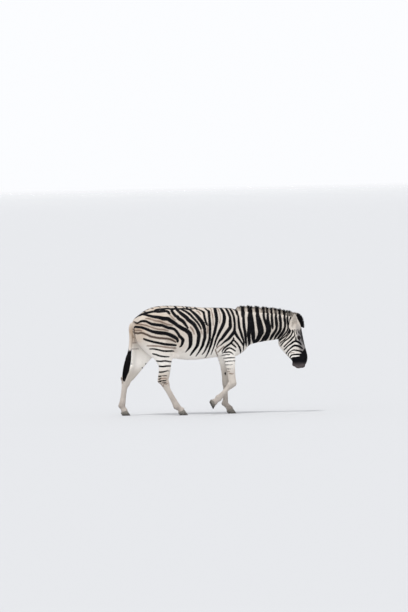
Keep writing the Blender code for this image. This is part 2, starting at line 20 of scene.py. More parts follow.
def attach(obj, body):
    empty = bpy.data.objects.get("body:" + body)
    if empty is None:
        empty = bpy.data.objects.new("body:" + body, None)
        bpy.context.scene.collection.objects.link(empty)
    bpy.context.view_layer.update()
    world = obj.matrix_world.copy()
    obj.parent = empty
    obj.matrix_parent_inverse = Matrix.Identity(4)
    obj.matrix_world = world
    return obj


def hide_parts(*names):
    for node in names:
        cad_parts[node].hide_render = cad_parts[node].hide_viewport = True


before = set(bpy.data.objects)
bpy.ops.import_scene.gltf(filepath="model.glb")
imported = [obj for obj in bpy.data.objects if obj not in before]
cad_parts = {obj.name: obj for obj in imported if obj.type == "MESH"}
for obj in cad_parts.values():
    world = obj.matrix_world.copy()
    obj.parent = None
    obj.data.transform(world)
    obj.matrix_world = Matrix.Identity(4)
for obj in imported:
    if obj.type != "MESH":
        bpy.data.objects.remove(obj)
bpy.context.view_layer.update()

bl_info = {
    "name": "Plains zebra",
    "version": (1, 0, 0),
    "blender": (4, 5, 0),
    "location": "View3D > Sidebar > Zebra",
    "description": "Builds the skin, coat, mane, tail, eyes and hooves of a walking zebra",
    "category": "Object",
}


def mm(*rows):
    """Rows of millimetres, or of thousandths, as rows of metres."""
    return [tuple(value / 1000 for value in row) for row in rows]


def sections(*rows):
    """Sections filled up with the middle plane, a round form and no lean."""
    return mm(*[row + (0, 2000, 0)[len(row) - 5:] for row in rows])


def limb(*rows):
    """Rows of a limb, whose second number is in hundredths."""
    return [(joint, part / 100, *mm(sizes)[0]) for joint, part, *sizes in rows]


# ---------------------------------------------------------------- the body
SHIFT = 0.015          # sections are laid out this far behind the model's frame
COARSE_GRAIN = 0.0075  # grid in which the muscles are merged
FINE_GRAIN = 0.0036    # grid in which ears, dock and cores join the skin
SKIN_TRIANGLES = 193000
EYE_RADIUS = 0.0213

# Sections: upper or front x, z, lower or rear x, z, half width, y, fullness, lean.
TRUNK = sections(
    (-1002, 1130, -1000, 1050, 30), (-968, 1194, -972, 960, 92), (-900, 1248, -910, 880, 145),
    (-815, 1305, -820, 830, 190, 0, 2100), (-700, 1340, -700, 780, 218, 0, 2200),
    (-570, 1348, -560, 720, 232, 0, 2300), (-430, 1343, -430, 684, 240, 0, 2200, -50),
    (-270, 1329, -260, 672, 258, 0, 2200, -100), (-120, 1315, -110, 682, 266, 0, 2200, -120),
    (20, 1312, 20, 698, 250, 0, 2200, -120), (140, 1306, 130, 700, 216, 0, 2100, -150),
    (240, 1297, 230, 696, 188, 0, 2000, -200), (310, 1262, 320, 726, 172, 0, 2000, -200),
    (380, 1190, 390, 778, 140, 0, 2000, -120), (430, 1080, 440, 835, 85),
)
NECK = sections(
    (170, 1270, 240, 760, 120, 0, 2000, -250), (300, 1266, 370, 772, 140, 0, 2000, -320),
    (410, 1256, 450, 838, 122, 0, 2000, -280), (530, 1246, 530, 861, 102, 0, 2000, -180),
    (650, 1236, 610, 876, 94, 0, 2000, -120), (770, 1222, 690, 887, 88, 0, 2000, -80),
    (880, 1206, 750, 893, 83, 0, 2000, -50), (965, 1182, 805, 905, 76, 0, 2100),
    (1020, 1140, 870, 920, 60, 0, 2100),
)
HEAD = sections(
    (1010, 1180, 940, 1140, 40, 0, 2000, 100), (1058, 1130, 880, 1040, 74, 0, 2100, 150),
    (1085, 1060, 835, 960, 84, 0, 2200, 200), (1097, 990, 802, 895, 92, 0, 2300, 260),
    (1106, 935, 800, 845, 92, 0, 2400, 300), (1115, 885, 822, 795, 83, 0, 2400, 240),
    (1124, 840, 852, 757, 72, 0, 2400, 140), (1134, 795, 880, 724, 62, 0, 2400, 80),
    (1146, 750, 912, 688, 55, 0, 2300, 40), (1156, 705, 938, 662, 52, 0, 2300, 80),
    (1158, 655, 962, 634, 53, 0, 2400, 140), (1148, 618, 965, 605, 52, 0, 2500, 50),
    (1134, 588, 973, 580, 44, 0, 2500), (1095, 553, 1010, 560, 30, 0, 2300),
)
RIGHT_THIGH = sections(
    (-560, 1130, -935, 1130, 80, -110), (-500, 1030, -971, 1045, 96, -118, 2100),
    (-468, 930, -957, 935, 102, -124, 2100, 50), (-466, 840, -898, 850, 98, -130, 2100, 120),
    (-482, 760, -815, 765, 86, -134, 2100, 200), (-503, 690, -735, 700, 70, -135, 2100, 100),
    (-528, 620, -686, 628, 50, -136, 2100),
)
LEFT_THIGH = sections(
    (-560, 1130, -935, 1130, 80, 110), (-540, 1030, -980, 1050, 96, 118, 2100),
    (-570, 930, -998, 950, 100, 120, 2100, 50), (-640, 835, -1006, 860, 94, 120, 2100, 120),
    (-720, 742, -1008, 790, 82, 120, 2100, 200), (-806, 664, -1014, 722, 66, 121, 2100, 100),
    (-885, 592, -1026, 650, 48, 121, 2100),
)
# Limbs: joint, hundredths of the way to the next joint, fore, rear, half width.
HIND_LIMB = limb(
    (0, 0, 75, 215, 80), (0, 22, 68, 128, 68), (0, 45, 70, 86, 52), (0, 70, 70, 74, 42),
    (0, 88, 70, 75, 42), (1, 0, 66, 72, 44), (1, 14, 54, 58, 38), (1, 32, 32, 45, 28),
    (1, 60, 30, 42, 26), (1, 84, 34, 45, 29), (2, 0, 38, 52, 34), (2, 50, 34, 38, 30),
    (2, 100, 42, 44, 37),
)
FORE_LIMB = limb(
    (0, -22, 95, 95, 70), (0, 0, 88, 80, 66), (0, 28, 72, 58, 54), (0, 60, 56, 46, 41),
    (0, 84, 52, 46, 38), (1, 0, 56, 50, 40), (1, 16, 44, 44, 34), (1, 36, 30, 34, 26),
    (1, 62, 29, 33, 24), (1, 86, 34, 40, 29), (2, 0, 38, 50, 33), (2, 50, 33, 36, 30),
    (2, 100, 42, 44, 37),
)
# Joint centres: stifle or elbow, hock or knee, fetlock, top of the hoof.
LIMBS = {
    "hind_right": (HIND_LIMB, mm((-572, -134, 745), (-622, -136, 432), (-458, -138, 112),
                                 (-408, -140, 60))),
    "hind_left": (HIND_LIMB, mm((-805, 120, 760), (-1083, 122, 440), (-1136, 120, 120),
                                (-1112, 118, 60))),
    "fore_right": (FORE_LIMB, mm((186, -120, 720), (222, -116, 378), (54, -112, 193),
                                 (-2, -111, 151))),
    "fore_left": (FORE_LIMB, mm((118, 112, 720), (146, 98, 400), (134, 88, 128), (184, 86, 60))),
}
LIMB_TOPS = (1.13, 0.96)  # above these the hind and the fore limbs are part of the trunk
# Middle of each sole in metres and the pitch of the hoof in degrees.
SOLES = {
    "hind_right": (-0.384, -0.140, 0.000, 0),
    "hind_left": (-1.093, 0.118, 0.000, 0),
    "fore_right": (-0.044, -0.111, 0.112, 64),
    "fore_left": (0.210, 0.086, 0.000, 0),
}
# Muscles and bony places on both sides: x, y, z, three radii, lean in degrees.
MUSCLES = (
    (222, 118, 1030, 105, 70, 210, 14),     # shoulder blade
    (262, 108, 852, 125, 70, 100, -28),     # upper arm
    (335, 72, 838, 72, 62, 80, 0),          # point of the shoulder
    (140, 120, 815, 100, 64, 120, 28),      # triceps
    (240, 40, 765, 130, 70, 60, -12),       # brisket
    (-560, 140, 1165, 130, 78, 120, 0),     # hip bone
    (-830, 110, 1070, 150, 86, 170, 15),    # buttock
    (-455, 100, 790, 85, 70, 100, 25),      # flank fold
    (1046, 74, 918, 36, 26, 42, 12),        # eye socket
    (1020, 70, 845, 24, 20, 75, 12),        # cheekbone
    (893, 50, 858, 78, 36, 98, -28),        # jaw muscle
    (1118, 34, 634, 28, 26, 40, 10),        # nostril rim
    (1090, 14, 576, 38, 36, 36, 0),         # upper lip
    (1036, 10, 562, 40, 30, 26, 10),        # lower lip
    (994, 10, 590, 32, 34, 30, 0),          # chin
    (995, 50, 1058, 40, 34, 48, 0),         # ear root
)
EYE = (1.052, 0.0835, 0.918)
DOCK = sections(
    (-965, 1165, -965, 1095, 26), (-1014, 1136, -984, 1084, 27), (-1034, 1085, -986, 1062, 26),
    (-1031, 1000, -985, 1000, 24), (-1033, 920, -992, 920, 22), (-1041, 850, -1000, 850, 21),
    (-1050, 790, -1012, 790, 18), (-1058, 730, -1030, 730, 11), (-1064, 680, -1050, 680, 5),
)
# The crest of the neck inside the mane: x, top of the hair, skin, half width.
MANE = mm(
    (275, 1300, 1255, 12), (320, 1326, 1235, 22), (400, 1332, 1228, 26), (500, 1324, 1220, 27),
    (600, 1314, 1212, 27), (700, 1304, 1202, 27), (800, 1290, 1190, 27), (880, 1270, 1176, 27),
    (950, 1255, 1160, 26), (1000, 1248, 1145, 24), (1038, 1236, 1130, 22), (1068, 1216, 1120, 18),
)

# ---------------------------------------------------------------- markings
# Stripes by kind and name, drawn on the near side as (x, z, half width) in millimetres.
STRIPES = {
    "black": {
        "croup edge": ((-700, 1302, 6), (-665, 1308, 9), (-600, 1310, 11), (-560, 1314, 11),
            (-510, 1308, 11), (-455, 1308, 11), (-410, 1305, 10), (-355, 1308, 10), (-300, 1300, 9),
            (-240, 1303, 8), (-190, 1305, 6)),
        "croup": ((-938, 1215, 15), (-900, 1238, 19), (-865, 1250, 17), (-835, 1262, 14),
            (-795, 1270, 13), (-715, 1283, 13), (-660, 1280, 14), (-600, 1283, 15), (-555, 1280, 14),
            (-530, 1255, 9)),
        "rump 1": ((-850, 1245, 4), (-810, 1240, 8), (-725, 1220, 12), (-660, 1210, 15), (-605, 1195, 18),
            (-550, 1190, 18), (-520, 1170, 19), (-460, 1130, 16), (-430, 1105, 16), (-360, 1060, 19),
            (-330, 1045, 20), (-285, 1000, 23), (-275, 920, 20), (-280, 865, 17), (-295, 830, 12),
            (-340, 775, 4)),
        "rump 2": ((-920, 1145, 3), (-880, 1165, 7), (-820, 1165, 8), (-760, 1135, 9), (-720, 1125, 11),
            (-650, 1115, 11), (-615, 1110, 10), (-545, 1080, 11), (-510, 1075, 11), (-465, 1055, 10),
            (-430, 1010, 10), (-410, 975, 11), (-385, 950, 13), (-370, 920, 15), (-390, 860, 8),
            (-410, 845, 4)),
        "rump 3": ((-955, 1100, 7), (-900, 1095, 8), (-870, 1090, 9), (-805, 1065, 10), (-745, 1040, 11),
            (-685, 1025, 15), (-645, 1020, 16), (-570, 1010, 15), (-500, 980, 17), (-450, 950, 13),
            (-435, 925, 10), (-435, 905, 4)),
        "rump 5": ((-850, 950, 4), (-810, 935, 7), (-745, 915, 8), (-680, 900, 9), (-615, 885, 10),
            (-550, 875, 11), (-500, 870, 11), (-460, 865, 8)),
        "rump 7": ((-780, 825, 3), (-730, 825, 5), (-680, 815, 6), (-625, 800, 7), (-565, 795, 7),
            (-510, 795, 6), (-485, 790, 3)),
        "rump 8": ((-745, 765, 4), (-705, 755, 7), (-665, 740, 7), (-615, 730, 6), (-545, 725, 2)),
        "rump 9": ((-700, 675, 6), (-645, 670, 6), (-595, 675, 6), (-515, 660, 4)),
        "rump 10": ((-675, 610, 5), (-630, 605, 6), (-580, 610, 6), (-515, 610, 4)),
        "hook": ((-495, 1305, 10), (-495, 1280, 12), (-460, 1230, 13), (-435, 1215, 14), (-415, 1190, 14),
            (-365, 1155, 14), (-335, 1115, 10), (-305, 1075, 4)),
        "rib 1": ((-440, 1305, 8), (-425, 1285, 11), (-370, 1240, 17), (-320, 1200, 18), (-295, 1170, 18),
            (-235, 1120, 19), (-195, 1055, 15), (-175, 1000, 19), (-175, 955, 18), (-190, 875, 16),
            (-205, 840, 14), (-260, 765, 11), (-285, 730, 5)),
        "rib 1b": ((-375, 1295, 6), (-340, 1280, 9), (-300, 1255, 10), (-270, 1230, 10), (-225, 1180, 8),
            (-185, 1135, 7), (-155, 1085, 6), (-145, 1060, 4)),
        "rib 2": ((-300, 1295, 7), (-275, 1290, 10), (-225, 1250, 14), (-185, 1210, 16), (-165, 1185, 18),
            (-125, 1130, 19), (-105, 1070, 17), (-100, 1035, 14), (-100, 955, 15), (-115, 905, 14),
            (-130, 855, 13), (-155, 810, 11), (-180, 770, 9), (-215, 720, 4)),
        "rib 2b": ((-195, 1295, 5), (-165, 1290, 7), (-115, 1265, 12), (-105, 1240, 10), (-95, 1180, 10),
            (-75, 1120, 8), (-65, 1100, 3)),
        "rib 3": ((-75, 1290, 7), (-45, 1265, 13), (-40, 1195, 12), (-35, 1120, 14), (-35, 1050, 13),
            (-40, 955, 12), (-50, 910, 11), (-70, 855, 11), (-110, 775, 8), (-140, 740, 4)),
        "rib 4": ((30, 1315, 15), (35, 1280, 18), (45, 1220, 18), (50, 1155, 17), (40, 1095, 15),
            (20, 1010, 14), (0, 955, 10), (-15, 905, 11), (-30, 855, 11), (-65, 765, 9), (-100, 695, 4)),
        "rib 5": ((95, 1315, 13), (135, 1245, 17), (145, 1185, 18), (135, 1125, 18), (110, 1070, 17),
            (75, 1005, 14), (45, 940, 9), (30, 905, 8), (10, 840, 5), (-10, 790, 6), (-30, 735, 3)),
        "rib 6": ((160, 1310, 11), (190, 1255, 13), (215, 1190, 12), (215, 1160, 14), (215, 1100, 18),
            (210, 1065, 17), (160, 1000, 17), (105, 930, 14), (80, 910, 11), (50, 860, 5), (40, 835, 3)),
        "rib 7": ((220, 1290, 12), (240, 1255, 13), (260, 1200, 10), (265, 1165, 12), (270, 1100, 11),
            (265, 1030, 14), (255, 1005, 16), (210, 950, 16), (185, 925, 14), (135, 890, 10),
            (90, 850, 3)),
        "rib 7 fore": ((265, 1030, 13), (285, 975, 14), (335, 900, 11), (365, 850, 11)),
        "rib 8": ((280, 1290, 11), (295, 1260, 13), (305, 1220, 14), (315, 1195, 13), (320, 1130, 14),
            (325, 1065, 13), (335, 1030, 12), (355, 960, 13), (375, 890, 9), (375, 855, 12),
            (370, 790, 5), (370, 760, 5)),
        "rib 9": ((375, 1335, 23), (375, 1295, 20), (375, 1245, 22), (375, 1200, 18), (380, 1180, 13),
            (380, 1135, 15), (385, 1060, 16), (395, 995, 14), (400, 925, 12), (405, 855, 10),
            (405, 825, 5)),
        "arch 1 rear": ((250, 940, 4), (250, 920, 9), (220, 880, 12), (175, 845, 13), (135, 815, 10),
            (105, 770, 5)),
        "arch 1 fore": ((250, 915, 8), (300, 860, 10), (330, 800, 12), (335, 750, 7)),
        "arch 2": ((210, 875, 9), (225, 870, 10), (270, 830, 9), (280, 815, 4)),
        "arch 3": ((135, 770, 5), (155, 795, 10), (195, 815, 10), (235, 800, 9), (270, 775, 8)),
        "arch 4": ((105, 750, 4), (130, 760, 7), (200, 765, 8), (245, 735, 4)),
        "fore band 1": ((100, 725, 4), (130, 730, 6), (200, 735, 5)),
        "fore band 2": ((125, 690, 5), (200, 695, 7), (255, 695, 5)),
        "fore band 3": ((125, 645, 5), (200, 655, 6), (250, 655, 5)),
        "neck 1 rear": ((475, 1330, 10), (470, 1275, 15), (460, 1205, 24), (455, 1155, 25),
            (455, 1110, 22), (450, 1060, 21), (440, 970, 19), (445, 875, 15), (440, 830, 9)),
        "neck 1 fore": ((470, 1275, 12), (475, 1205, 16), (485, 1110, 22), (490, 1015, 24),
            (495, 965, 22), (495, 920, 18), (505, 865, 8)),
        "neck 2": ((560, 1325, 10), (555, 1250, 13), (555, 1200, 20), (565, 1150, 29), (575, 1100, 35),
            (590, 1010, 37), (580, 970, 31), (545, 900, 22), (525, 870, 14)),
        "neck 3 rear": ((635, 1320, 9), (630, 1245, 9), (635, 1165, 12), (665, 1080, 17), (670, 995, 22),
            (630, 925, 20), (610, 895, 18), (585, 865, 9)),
        "neck 3 fore": ((680, 1315, 9), (680, 1245, 9), (680, 1150, 13), (690, 1105, 13), (700, 1030, 18),
            (675, 950, 18), (655, 915, 15), (645, 890, 8)),
        "neck 4": ((740, 1300, 12), (735, 1245, 9), (730, 1200, 10), (730, 1150, 13), (735, 1065, 12),
            (735, 1035, 6)),
        "neck 5": ((795, 1290, 9), (790, 1245, 7), (780, 1195, 11), (780, 1150, 14), (785, 1100, 16),
            (785, 1055, 15), (770, 1010, 17), (725, 945, 18), (700, 890, 8)),
        "neck 6": ((850, 1265, 9), (830, 1205, 10), (830, 1160, 16), (835, 1100, 15), (825, 1015, 18),
            (775, 945, 15), (750, 890, 5)),
        "neck 7": ((885, 1245, 7), (885, 1195, 8), (885, 1145, 14), (890, 1100, 12), (885, 1050, 13),
            (875, 1020, 16), (855, 985, 17), (805, 925, 13), (785, 900, 5)),
        "neck 8": ((925, 1200, 6), (920, 1145, 10), (925, 1050, 9), (915, 1010, 10), (890, 975, 10),
            (840, 925, 9), (805, 890, 7)),
        "cheek 1": ((962, 1174, 7), (950, 1132, 7), (946, 1088, 6), (948, 1052, 7), (940, 1012, 8),
            (924, 984, 8), (900, 952, 8), (872, 928, 8), (836, 902, 7), (812, 880, 6)),
        "cheek 2": ((956, 1008, 5), (944, 984, 6), (928, 960, 6), (908, 936, 5), (882, 906, 6),
            (844, 876, 6), (820, 856, 6)),
        "cheek 3": ((978, 1012, 5), (980, 996, 7), (972, 976, 6), (960, 952, 7), (942, 930, 8),
            (922, 912, 8), (900, 896, 8), (872, 876, 7), (844, 844, 7), (826, 822, 6)),
        "cheek 4": ((1008, 954, 3), (992, 932, 6), (972, 914, 7), (954, 892, 7), (932, 872, 7),
            (912, 854, 8), (888, 832, 8), (870, 812, 8)),
        "cheek 5": ((868, 774, 8), (892, 796, 8), (912, 816, 8), (936, 834, 8), (960, 850, 8),
            (984, 868, 7), (1004, 876, 7), (1024, 874, 8), (1044, 866, 8), (1064, 852, 7),
            (1080, 832, 5)),
        "eye stem": ((1016, 928, 3), (1016, 902, 5), (1016, 876, 5)),
        "cheek 6": ((892, 724, 8), (904, 744, 8), (920, 764, 8), (938, 782, 8), (960, 800, 8),
            (980, 816, 8), (1004, 824, 9), (1028, 820, 10), (1052, 812, 10), (1072, 800, 9),
            (1094, 784, 6)),
        "cheek 7": ((916, 690, 6), (920, 716, 7), (932, 734, 6), (948, 750, 5), (968, 762, 5),
            (992, 768, 6), (1016, 764, 7), (1038, 760, 7), (1060, 754, 7), (1084, 744, 8),
            (1104, 732, 6)),
        "cheek 9": ((936, 664, 7), (944, 688, 7), (960, 704, 7), (984, 710, 6), (1010, 712, 7),
            (1032, 712, 8), (1060, 710, 8), (1084, 708, 8), (1104, 698, 6)),
        "cheek 10": ((950, 646, 6), (966, 664, 8), (986, 668, 12), (1012, 665, 15), (1040, 668, 16),
            (1068, 672, 14)),
        "brow 1": ((1002, 1030, 1), (998, 990, 2), (1004, 945, 1)),
        "brow 2": ((1024, 1036, 1), (1020, 1000, 2), (1026, 962, 1)),
        "brow 3": ((1046, 1040, 1), (1044, 1008, 2), (1052, 975, 1)),
        "gaskin": ((-690, 540, 4), (-655, 537, 7), (-620, 540, 6), (-570, 552, 3)),
        "hock 1": ((-680, 485, 6), (-655, 485, 8)),
        "hock 2": ((-630, 490, 4), (-595, 492, 4)),
        "hock 4": ((-640, 430, 4), (-615, 432, 7), (-600, 432, 4)),
        "hock 9": ((-688, 452, 3), (-668, 450, 5), (-650, 456, 3)),
        "hock 10": ((-630, 408, 3), (-612, 404, 4), (-600, 408, 3)),
        "hock 11": ((-676, 425, 3), (-660, 420, 4), (-650, 428, 3)),
        "fore band 4": ((130, 607, 5), (170, 607, 5), (215, 608, 4)),
        "fore band 5": ((165, 557, 4), (185, 557, 5), (205, 557, 3)),
    },
    "brown black": {
        "rump 4": ((-915, 1020, 5), (-870, 1025, 5), (-820, 1005, 5), (-765, 980, 6), (-725, 970, 6),
            (-650, 955, 7), (-545, 945, 6), (-495, 925, 6), (-460, 905, 4)),
    },
    "brown": {
        "rump 6": ((-810, 865, 5), (-695, 860, 7), (-615, 850, 7), (-530, 835, 7), (-465, 830, 10)),
        "shadow a": ((-820, 1200, 6), (-775, 1195, 7), (-700, 1170, 8), (-645, 1160, 8), (-565, 1125, 8),
            (-495, 1110, 7)),
        "shadow b": ((-890, 1130, 5), (-860, 1125, 6), (-800, 1110, 6), (-720, 1080, 6), (-665, 1065, 6),
            (-605, 1060, 6), (-550, 1045, 6)),
        "hook brown": ((-535, 1260, 7), (-525, 1240, 7), (-480, 1190, 7), (-455, 1170, 5)),
        "rib 1c": ((-145, 1060, 5), (-140, 1030, 5), (-135, 1000, 4)),
        "rib 1d": ((-275, 1085, 6), (-255, 1060, 7), (-240, 1030, 7), (-230, 1000, 6)),
        "rib 2d": ((-65, 1100, 6), (-65, 1035, 6), (-70, 1000, 4)),
        "hock 3": ((-645, 460, 4), (-605, 462, 4)),
        "hock 5": ((-695, 415, 5), (-680, 412, 5)),
        "hock 6": ((-668, 398, 4), (-650, 385, 4)),
        "hock 7": ((-605, 392, 5), (-590, 390, 5)),
        "hock 8": ((-640, 366, 6), (-625, 366, 6)),
        "fore band 6": ((165, 525, 4), (190, 525, 4)),
        "fore band 7": ((205, 500, 5), (215, 495, 5)),
    },
    "faint": {
        "shadow c": ((-940, 1055, 5), (-905, 1060, 5), (-875, 1050, 5)),
        "rib 2c": ((-195, 1275, 5), (-175, 1270, 6), (-145, 1230, 4)),
        "rib 3b": ((-15, 1290, 4), (0, 1220, 6), (5, 1155, 5), (5, 1095, 3)),
        "rib 4b": ((80, 1265, 4), (90, 1240, 4), (95, 1185, 4), (85, 1125, 3)),
        "elbow 1": ((115, 870, 5), (60, 835, 6), (40, 815, 5)),
        "elbow 2": ((130, 835, 6), (100, 810, 6), (55, 765, 5)),
        "elbow 3": ((25, 800, 5), (35, 765, 5), (55, 710, 4)),
        "cheek 8": ((948, 732, 3), (970, 736, 3), (992, 732, 3)),
    },
}
# Tan tinges, in hundredths: x, z, radius, strength.
BLUSHES = (
    (-93, 104, 14, 75), (-70, 118, 26, 50), (-50, 90, 16, 45), (-30, 122, 22, 25),
    (-101, 98, 12, 90), (66, 102, 22, 12), (-62, 44, 7, 35), (108, 76, 5, 55),
)
# Lie of the coat on both sides: the place in centimetres, then the way of the hair.
LIE = (
    (110, 3, 95, 2, 1, -10), (114, 2, 75, 1, 1, -10), (104, 8, 86, -2, 1, -10),
    (93, 6, 90, -5, 0, -10), (105, 3, 62, 2, 2, -10), (106, 4, 104, 1, 1, 10),
    (99, 6, 115, 0, 2, 10), (88, 7, 110, -9, 1, -6), (80, 6, 98, -6, 0, -10),
    (62, 8, 116, -9, 1, -7), (55, 10, 98, -8, 0, -8), (38, 12, 118, -9, 1, -7),
    (36, 12, 90, -5, 1, -10), (20, 18, 105, -7, 0, -9), (15, 17, 80, -3, 0, -10),
    (5, 8, 130, -10, 2, -1), (-10, 25, 100, -10, 0, -5), (-10, 12, 70, -10, 0, -1),
    (-40, 23, 110, -10, 0, -4), (-40, 15, 72, -10, 0, 2), (-50, 20, 85, -4, 0, -10),
    (-55, 10, 134, -10, 2, -1), (-75, 20, 110, -8, 0, -8), (-90, 12, 115, -8, 1, -8),
    (-92, 14, 95, -3, 0, -10), (-65, 20, 80, -3, 0, -10), (-101, 2, 95, 0, 0, -10),
    (-102, 2, 80, 0, 0, -10), (-60, 14, 60, -1, 0, -10), (-60, 14, 30, 3, 0, -10),
    (-45, 14, 10, 3, 0, -10), (-95, 12, 62, -3, 0, -10), (-110, 12, 30, -1, 0, -10),
    (20, 11, 60, 0, 0, -10), (20, 11, 40, 0, 0, -10), (13, 10, 25, 0, 0, -10),
    (5, 11, 20, -4, 0, -10), (14, 9, 12, 1, 0, -10),
)
STRIPE_MARGIN = 0.0048    # thin markings are widened by this much, broad ones less
# Zones of the side view where that edge differs: how much, then from where to where
# x sets in, x ends, z sets in and z ends.
THIN_EDGES = (            # the share that is taken off it
    (0.25, (0.72, 0.86), None, None, None),                     # head
    (0.50, None, None, None, (0.48, 0.62)),                     # lower legs
    (0.80, (0.60, 0.68), (0.90, 0.98), None, (1.02, 1.12)),     # throat and jaw
    (0.60, (0.02, 0.10), (0.34, 0.42), None, (0.88, 0.98)),     # elbow
    (0.60, (-0.42, -0.34), None, None, (0.78, 0.88)),           # belly
)
WIDE_EDGES = (            # the width that is added to it
    (0.0032, None, (-0.40, 0.05), (0.80, 1.00), None),          # rump and flank
    (0.0012, (0.38, 0.46), (0.60, 0.70), None, None),           # root of the neck
    (0.0022, (0.93, 0.99), None, None, (0.86, 0.94)),           # face below the eye
)
FOREHEAD_LINES = 7        # fine dark lines on each side of the middle of the face
FOREHEAD_SPACING = 0.0098
BACK_BARS = 14            # short bars that join the stripe along the back
MARK_REACH = 0.030        # how far from a marking its distance is still measured
STRETCH = 14              # points of a marking that are measured together
THINNING_LEVELS = 60      # steps between the finest and the plainest parts of the skin

# ---------------------------------------------------------------- modelling
# Folds and ridges on both sides: radius, height (below 0 presses in), points.
CREASES = (
    (34, 3, (255, 160, 1180), (225, 190, 1080), (205, 200, 950)),
    (30, -7, (300, 140, 1160), (295, 160, 1020), (325, 150, 920)),
    (36, -6.5, (120, 190, 1160), (95, 200, 1020), (70, 190, 860)),
    (22, -6, (55, 180, 820), (110, 180, 760), (180, 170, 728)),
    (20, -6, (240, 170, 950), (205, 180, 860), (188, 180, 780)),
    (18, -4.5, (300, 130, 860), (262, 140, 790), (235, 150, 720)),
    (34, 4, (175, 190, 900), (130, 180, 830)),
    (24, -8.5, (790, 70, 965), (620, 90, 945), (440, 100, 930)),
    (30, 4.5, (760, 80, 1010), (590, 100, 1000), (420, 120, 970)),
    (30, -4, (745, 85, 1120), (560, 100, 1100), (420, 120, 1060)),
    (28, 3, (700, 60, 1180), (520, 70, 1190), (380, 80, 1190)),
    (80, -13, (-395, 220, 1120), (-385, 220, 1000)),
    (26, 8, (-350, 190, 790), (-430, 180, 850), (-470, 180, 960)),
    (24, -8.5, (-855, 170, 1160), (-800, 210, 980), (-730, 200, 800)),
    (28, 6, (-545, 210, 1020), (-530, 220, 880), (-525, 200, 770)),
    (38, -6, (-640, 220, 1100), (-650, 230, 960), (-640, 220, 830)),
    (14, -3.5, (-610, 180, 720), (-600, 180, 610), (-600, 170, 540)),
    (16, -7.5, (845, 70, 1010), (815, 70, 960), (800, 50, 920)),
    (7, -2, (800, 85, 1060), (790, 80, 1000), (755, 60, 930)),
    (7, -1.8, (775, 85, 1050), (765, 80, 990), (730, 60, 925)),
    # the face: crest under the eye, nose bone, jaw, hollow over the eye, lips
    (9, 4.5, (1040, 88, 872), (1042, 80, 825), (1046, 70, 785)),
    (10, -2.8, (1055, 86, 850), (1060, 76, 800), (1066, 66, 750)),
    (9, -3, (1105, 40, 870), (1122, 42, 790), (1140, 38, 715)),
    (12, -3.8, (1062, 62, 760), (1085, 56, 710), (1096, 52, 690)),
    (18, -8, (1058, 66, 990), (1068, 62, 972)),
    (8, 4, (1026, 86, 962), (1050, 90, 956), (1076, 80, 943)),
    (12, 2.8, (985, 86, 935), (930, 86, 945), (885, 80, 965)),
    (14, -4, (925, 68, 800), (960, 64, 775), (990, 60, 740)),
    (8, 3, (860, 60, 800), (905, 50, 745), (945, 44, 690)),
    (6, -3, (975, 0, 622), (985, 22, 616), (996, 36, 618)),
    (6, -1.8, (1150, 0, 600), (1146, 20, 606), (1130, 40, 604)),
    (4, -1.6, (1135, 0, 640), (1130, 0, 590), (1112, 0, 566)),
)
# The slit of the mouth, from the middle of the lips to its corner.
MOUTH = mm(
    (1070, 0, 520), (1068, 22, 522), (1060, 44, 540), (1046, 56, 570), (1032, 60, 596),
    (1020, 60, 622),
)
NOSTRIL = (1.126, 0.046, 0.648)
LID_LONG = 0.0198         # half the length of the opening between the lids
LID_WIDE = 0.0136
LID_THICKNESS = 0.0022
EAR_LENGTH = 0.203


def spline(rows, steps):
    """Smooth rows of numbers through the given rows, both ends kept."""
    rows = np.array(rows, float)
    padded = np.vstack([2 * rows[0] - rows[1], rows, 2 * rows[-1] - rows[-2]])
    out = []
    for i in range(len(rows) - 1):
        a, b, c, d = padded[i:i + 4]
        for k in range(steps):
            t = k / steps
            out.append(0.5 * (2 * b + (c - a) * t
                              + (2 * a - 5 * b + 4 * c - d) * t * t
                              + (3 * b - a - 3 * c + d) * t ** 3))
    out.append(rows[-1])
    return np.array(out)


def step_up(low, high, value):
    """0 below low, 1 above high and smooth between, for arrays."""
    t = np.clip((value - low) / (high - low), 0, 1)
    return t * t * (3 - 2 * t)


def unit(vectors):
    return vectors / np.maximum(np.linalg.norm(vectors, axis=-1, keepdims=True), 1e-9)


def new_object(name, mesh):
    made = bpy.data.objects.new(name, mesh)
    bpy.context.scene.collection.objects.link(made)
    return made


@contextmanager
def edited(mesh):
    """The mesh opened for changes and written back at the end."""
    bm = bmesh.new()
    bm.from_mesh(mesh)
    yield bm
    bm.to_mesh(mesh)
    bm.free()


def turned_out(mesh):
    """The mesh with its faces turned outward."""
    with edited(mesh) as bm:
        bmesh.ops.recalc_face_normals(bm, faces=bm.faces)
    return mesh


def mirrored(place, side):
    """A place given on the left side, on the left (1) or the right side (-1)."""
    return np.array(place) * (1, side, 1)


def mesh_from(name, verts, faces):
    """A new object from corners and faces."""
    mesh = bpy.data.meshes.new(name)
    mesh.from_pydata([tuple(v) for v in verts], [], faces)
    mesh.validate()
    return new_object(name, turned_out(mesh))


def power_of(value, power):
    return math.copysign(abs(value) ** (2.0 / power), value)


def loft(rows, steps=4, around=32):
    """A closed skin through rows of (x, z, x, z, half width, y, fullness, lean)."""
    verts = []
    smooth_rows = spline(rows, steps)
    for x1, z1, x2, z2, half, y, power, lean in smooth_rows:
        middle = Vector(((x1 + x2) / 2, y, (z1 + z2) / 2))
        reach = Vector(((x1 - x2) / 2, 0, (z1 - z2) / 2))
        for k in range(around):
            turn = 2 * math.pi * k / around
            up = power_of(math.cos(turn), power)
            side = power_of(math.sin(turn), power)
            verts.append(middle + reach * up + Vector((0, half * side * (1 + lean * up), 0)))
    return mesh_from("loft", verts, ring_faces(len(smooth_rows), around))


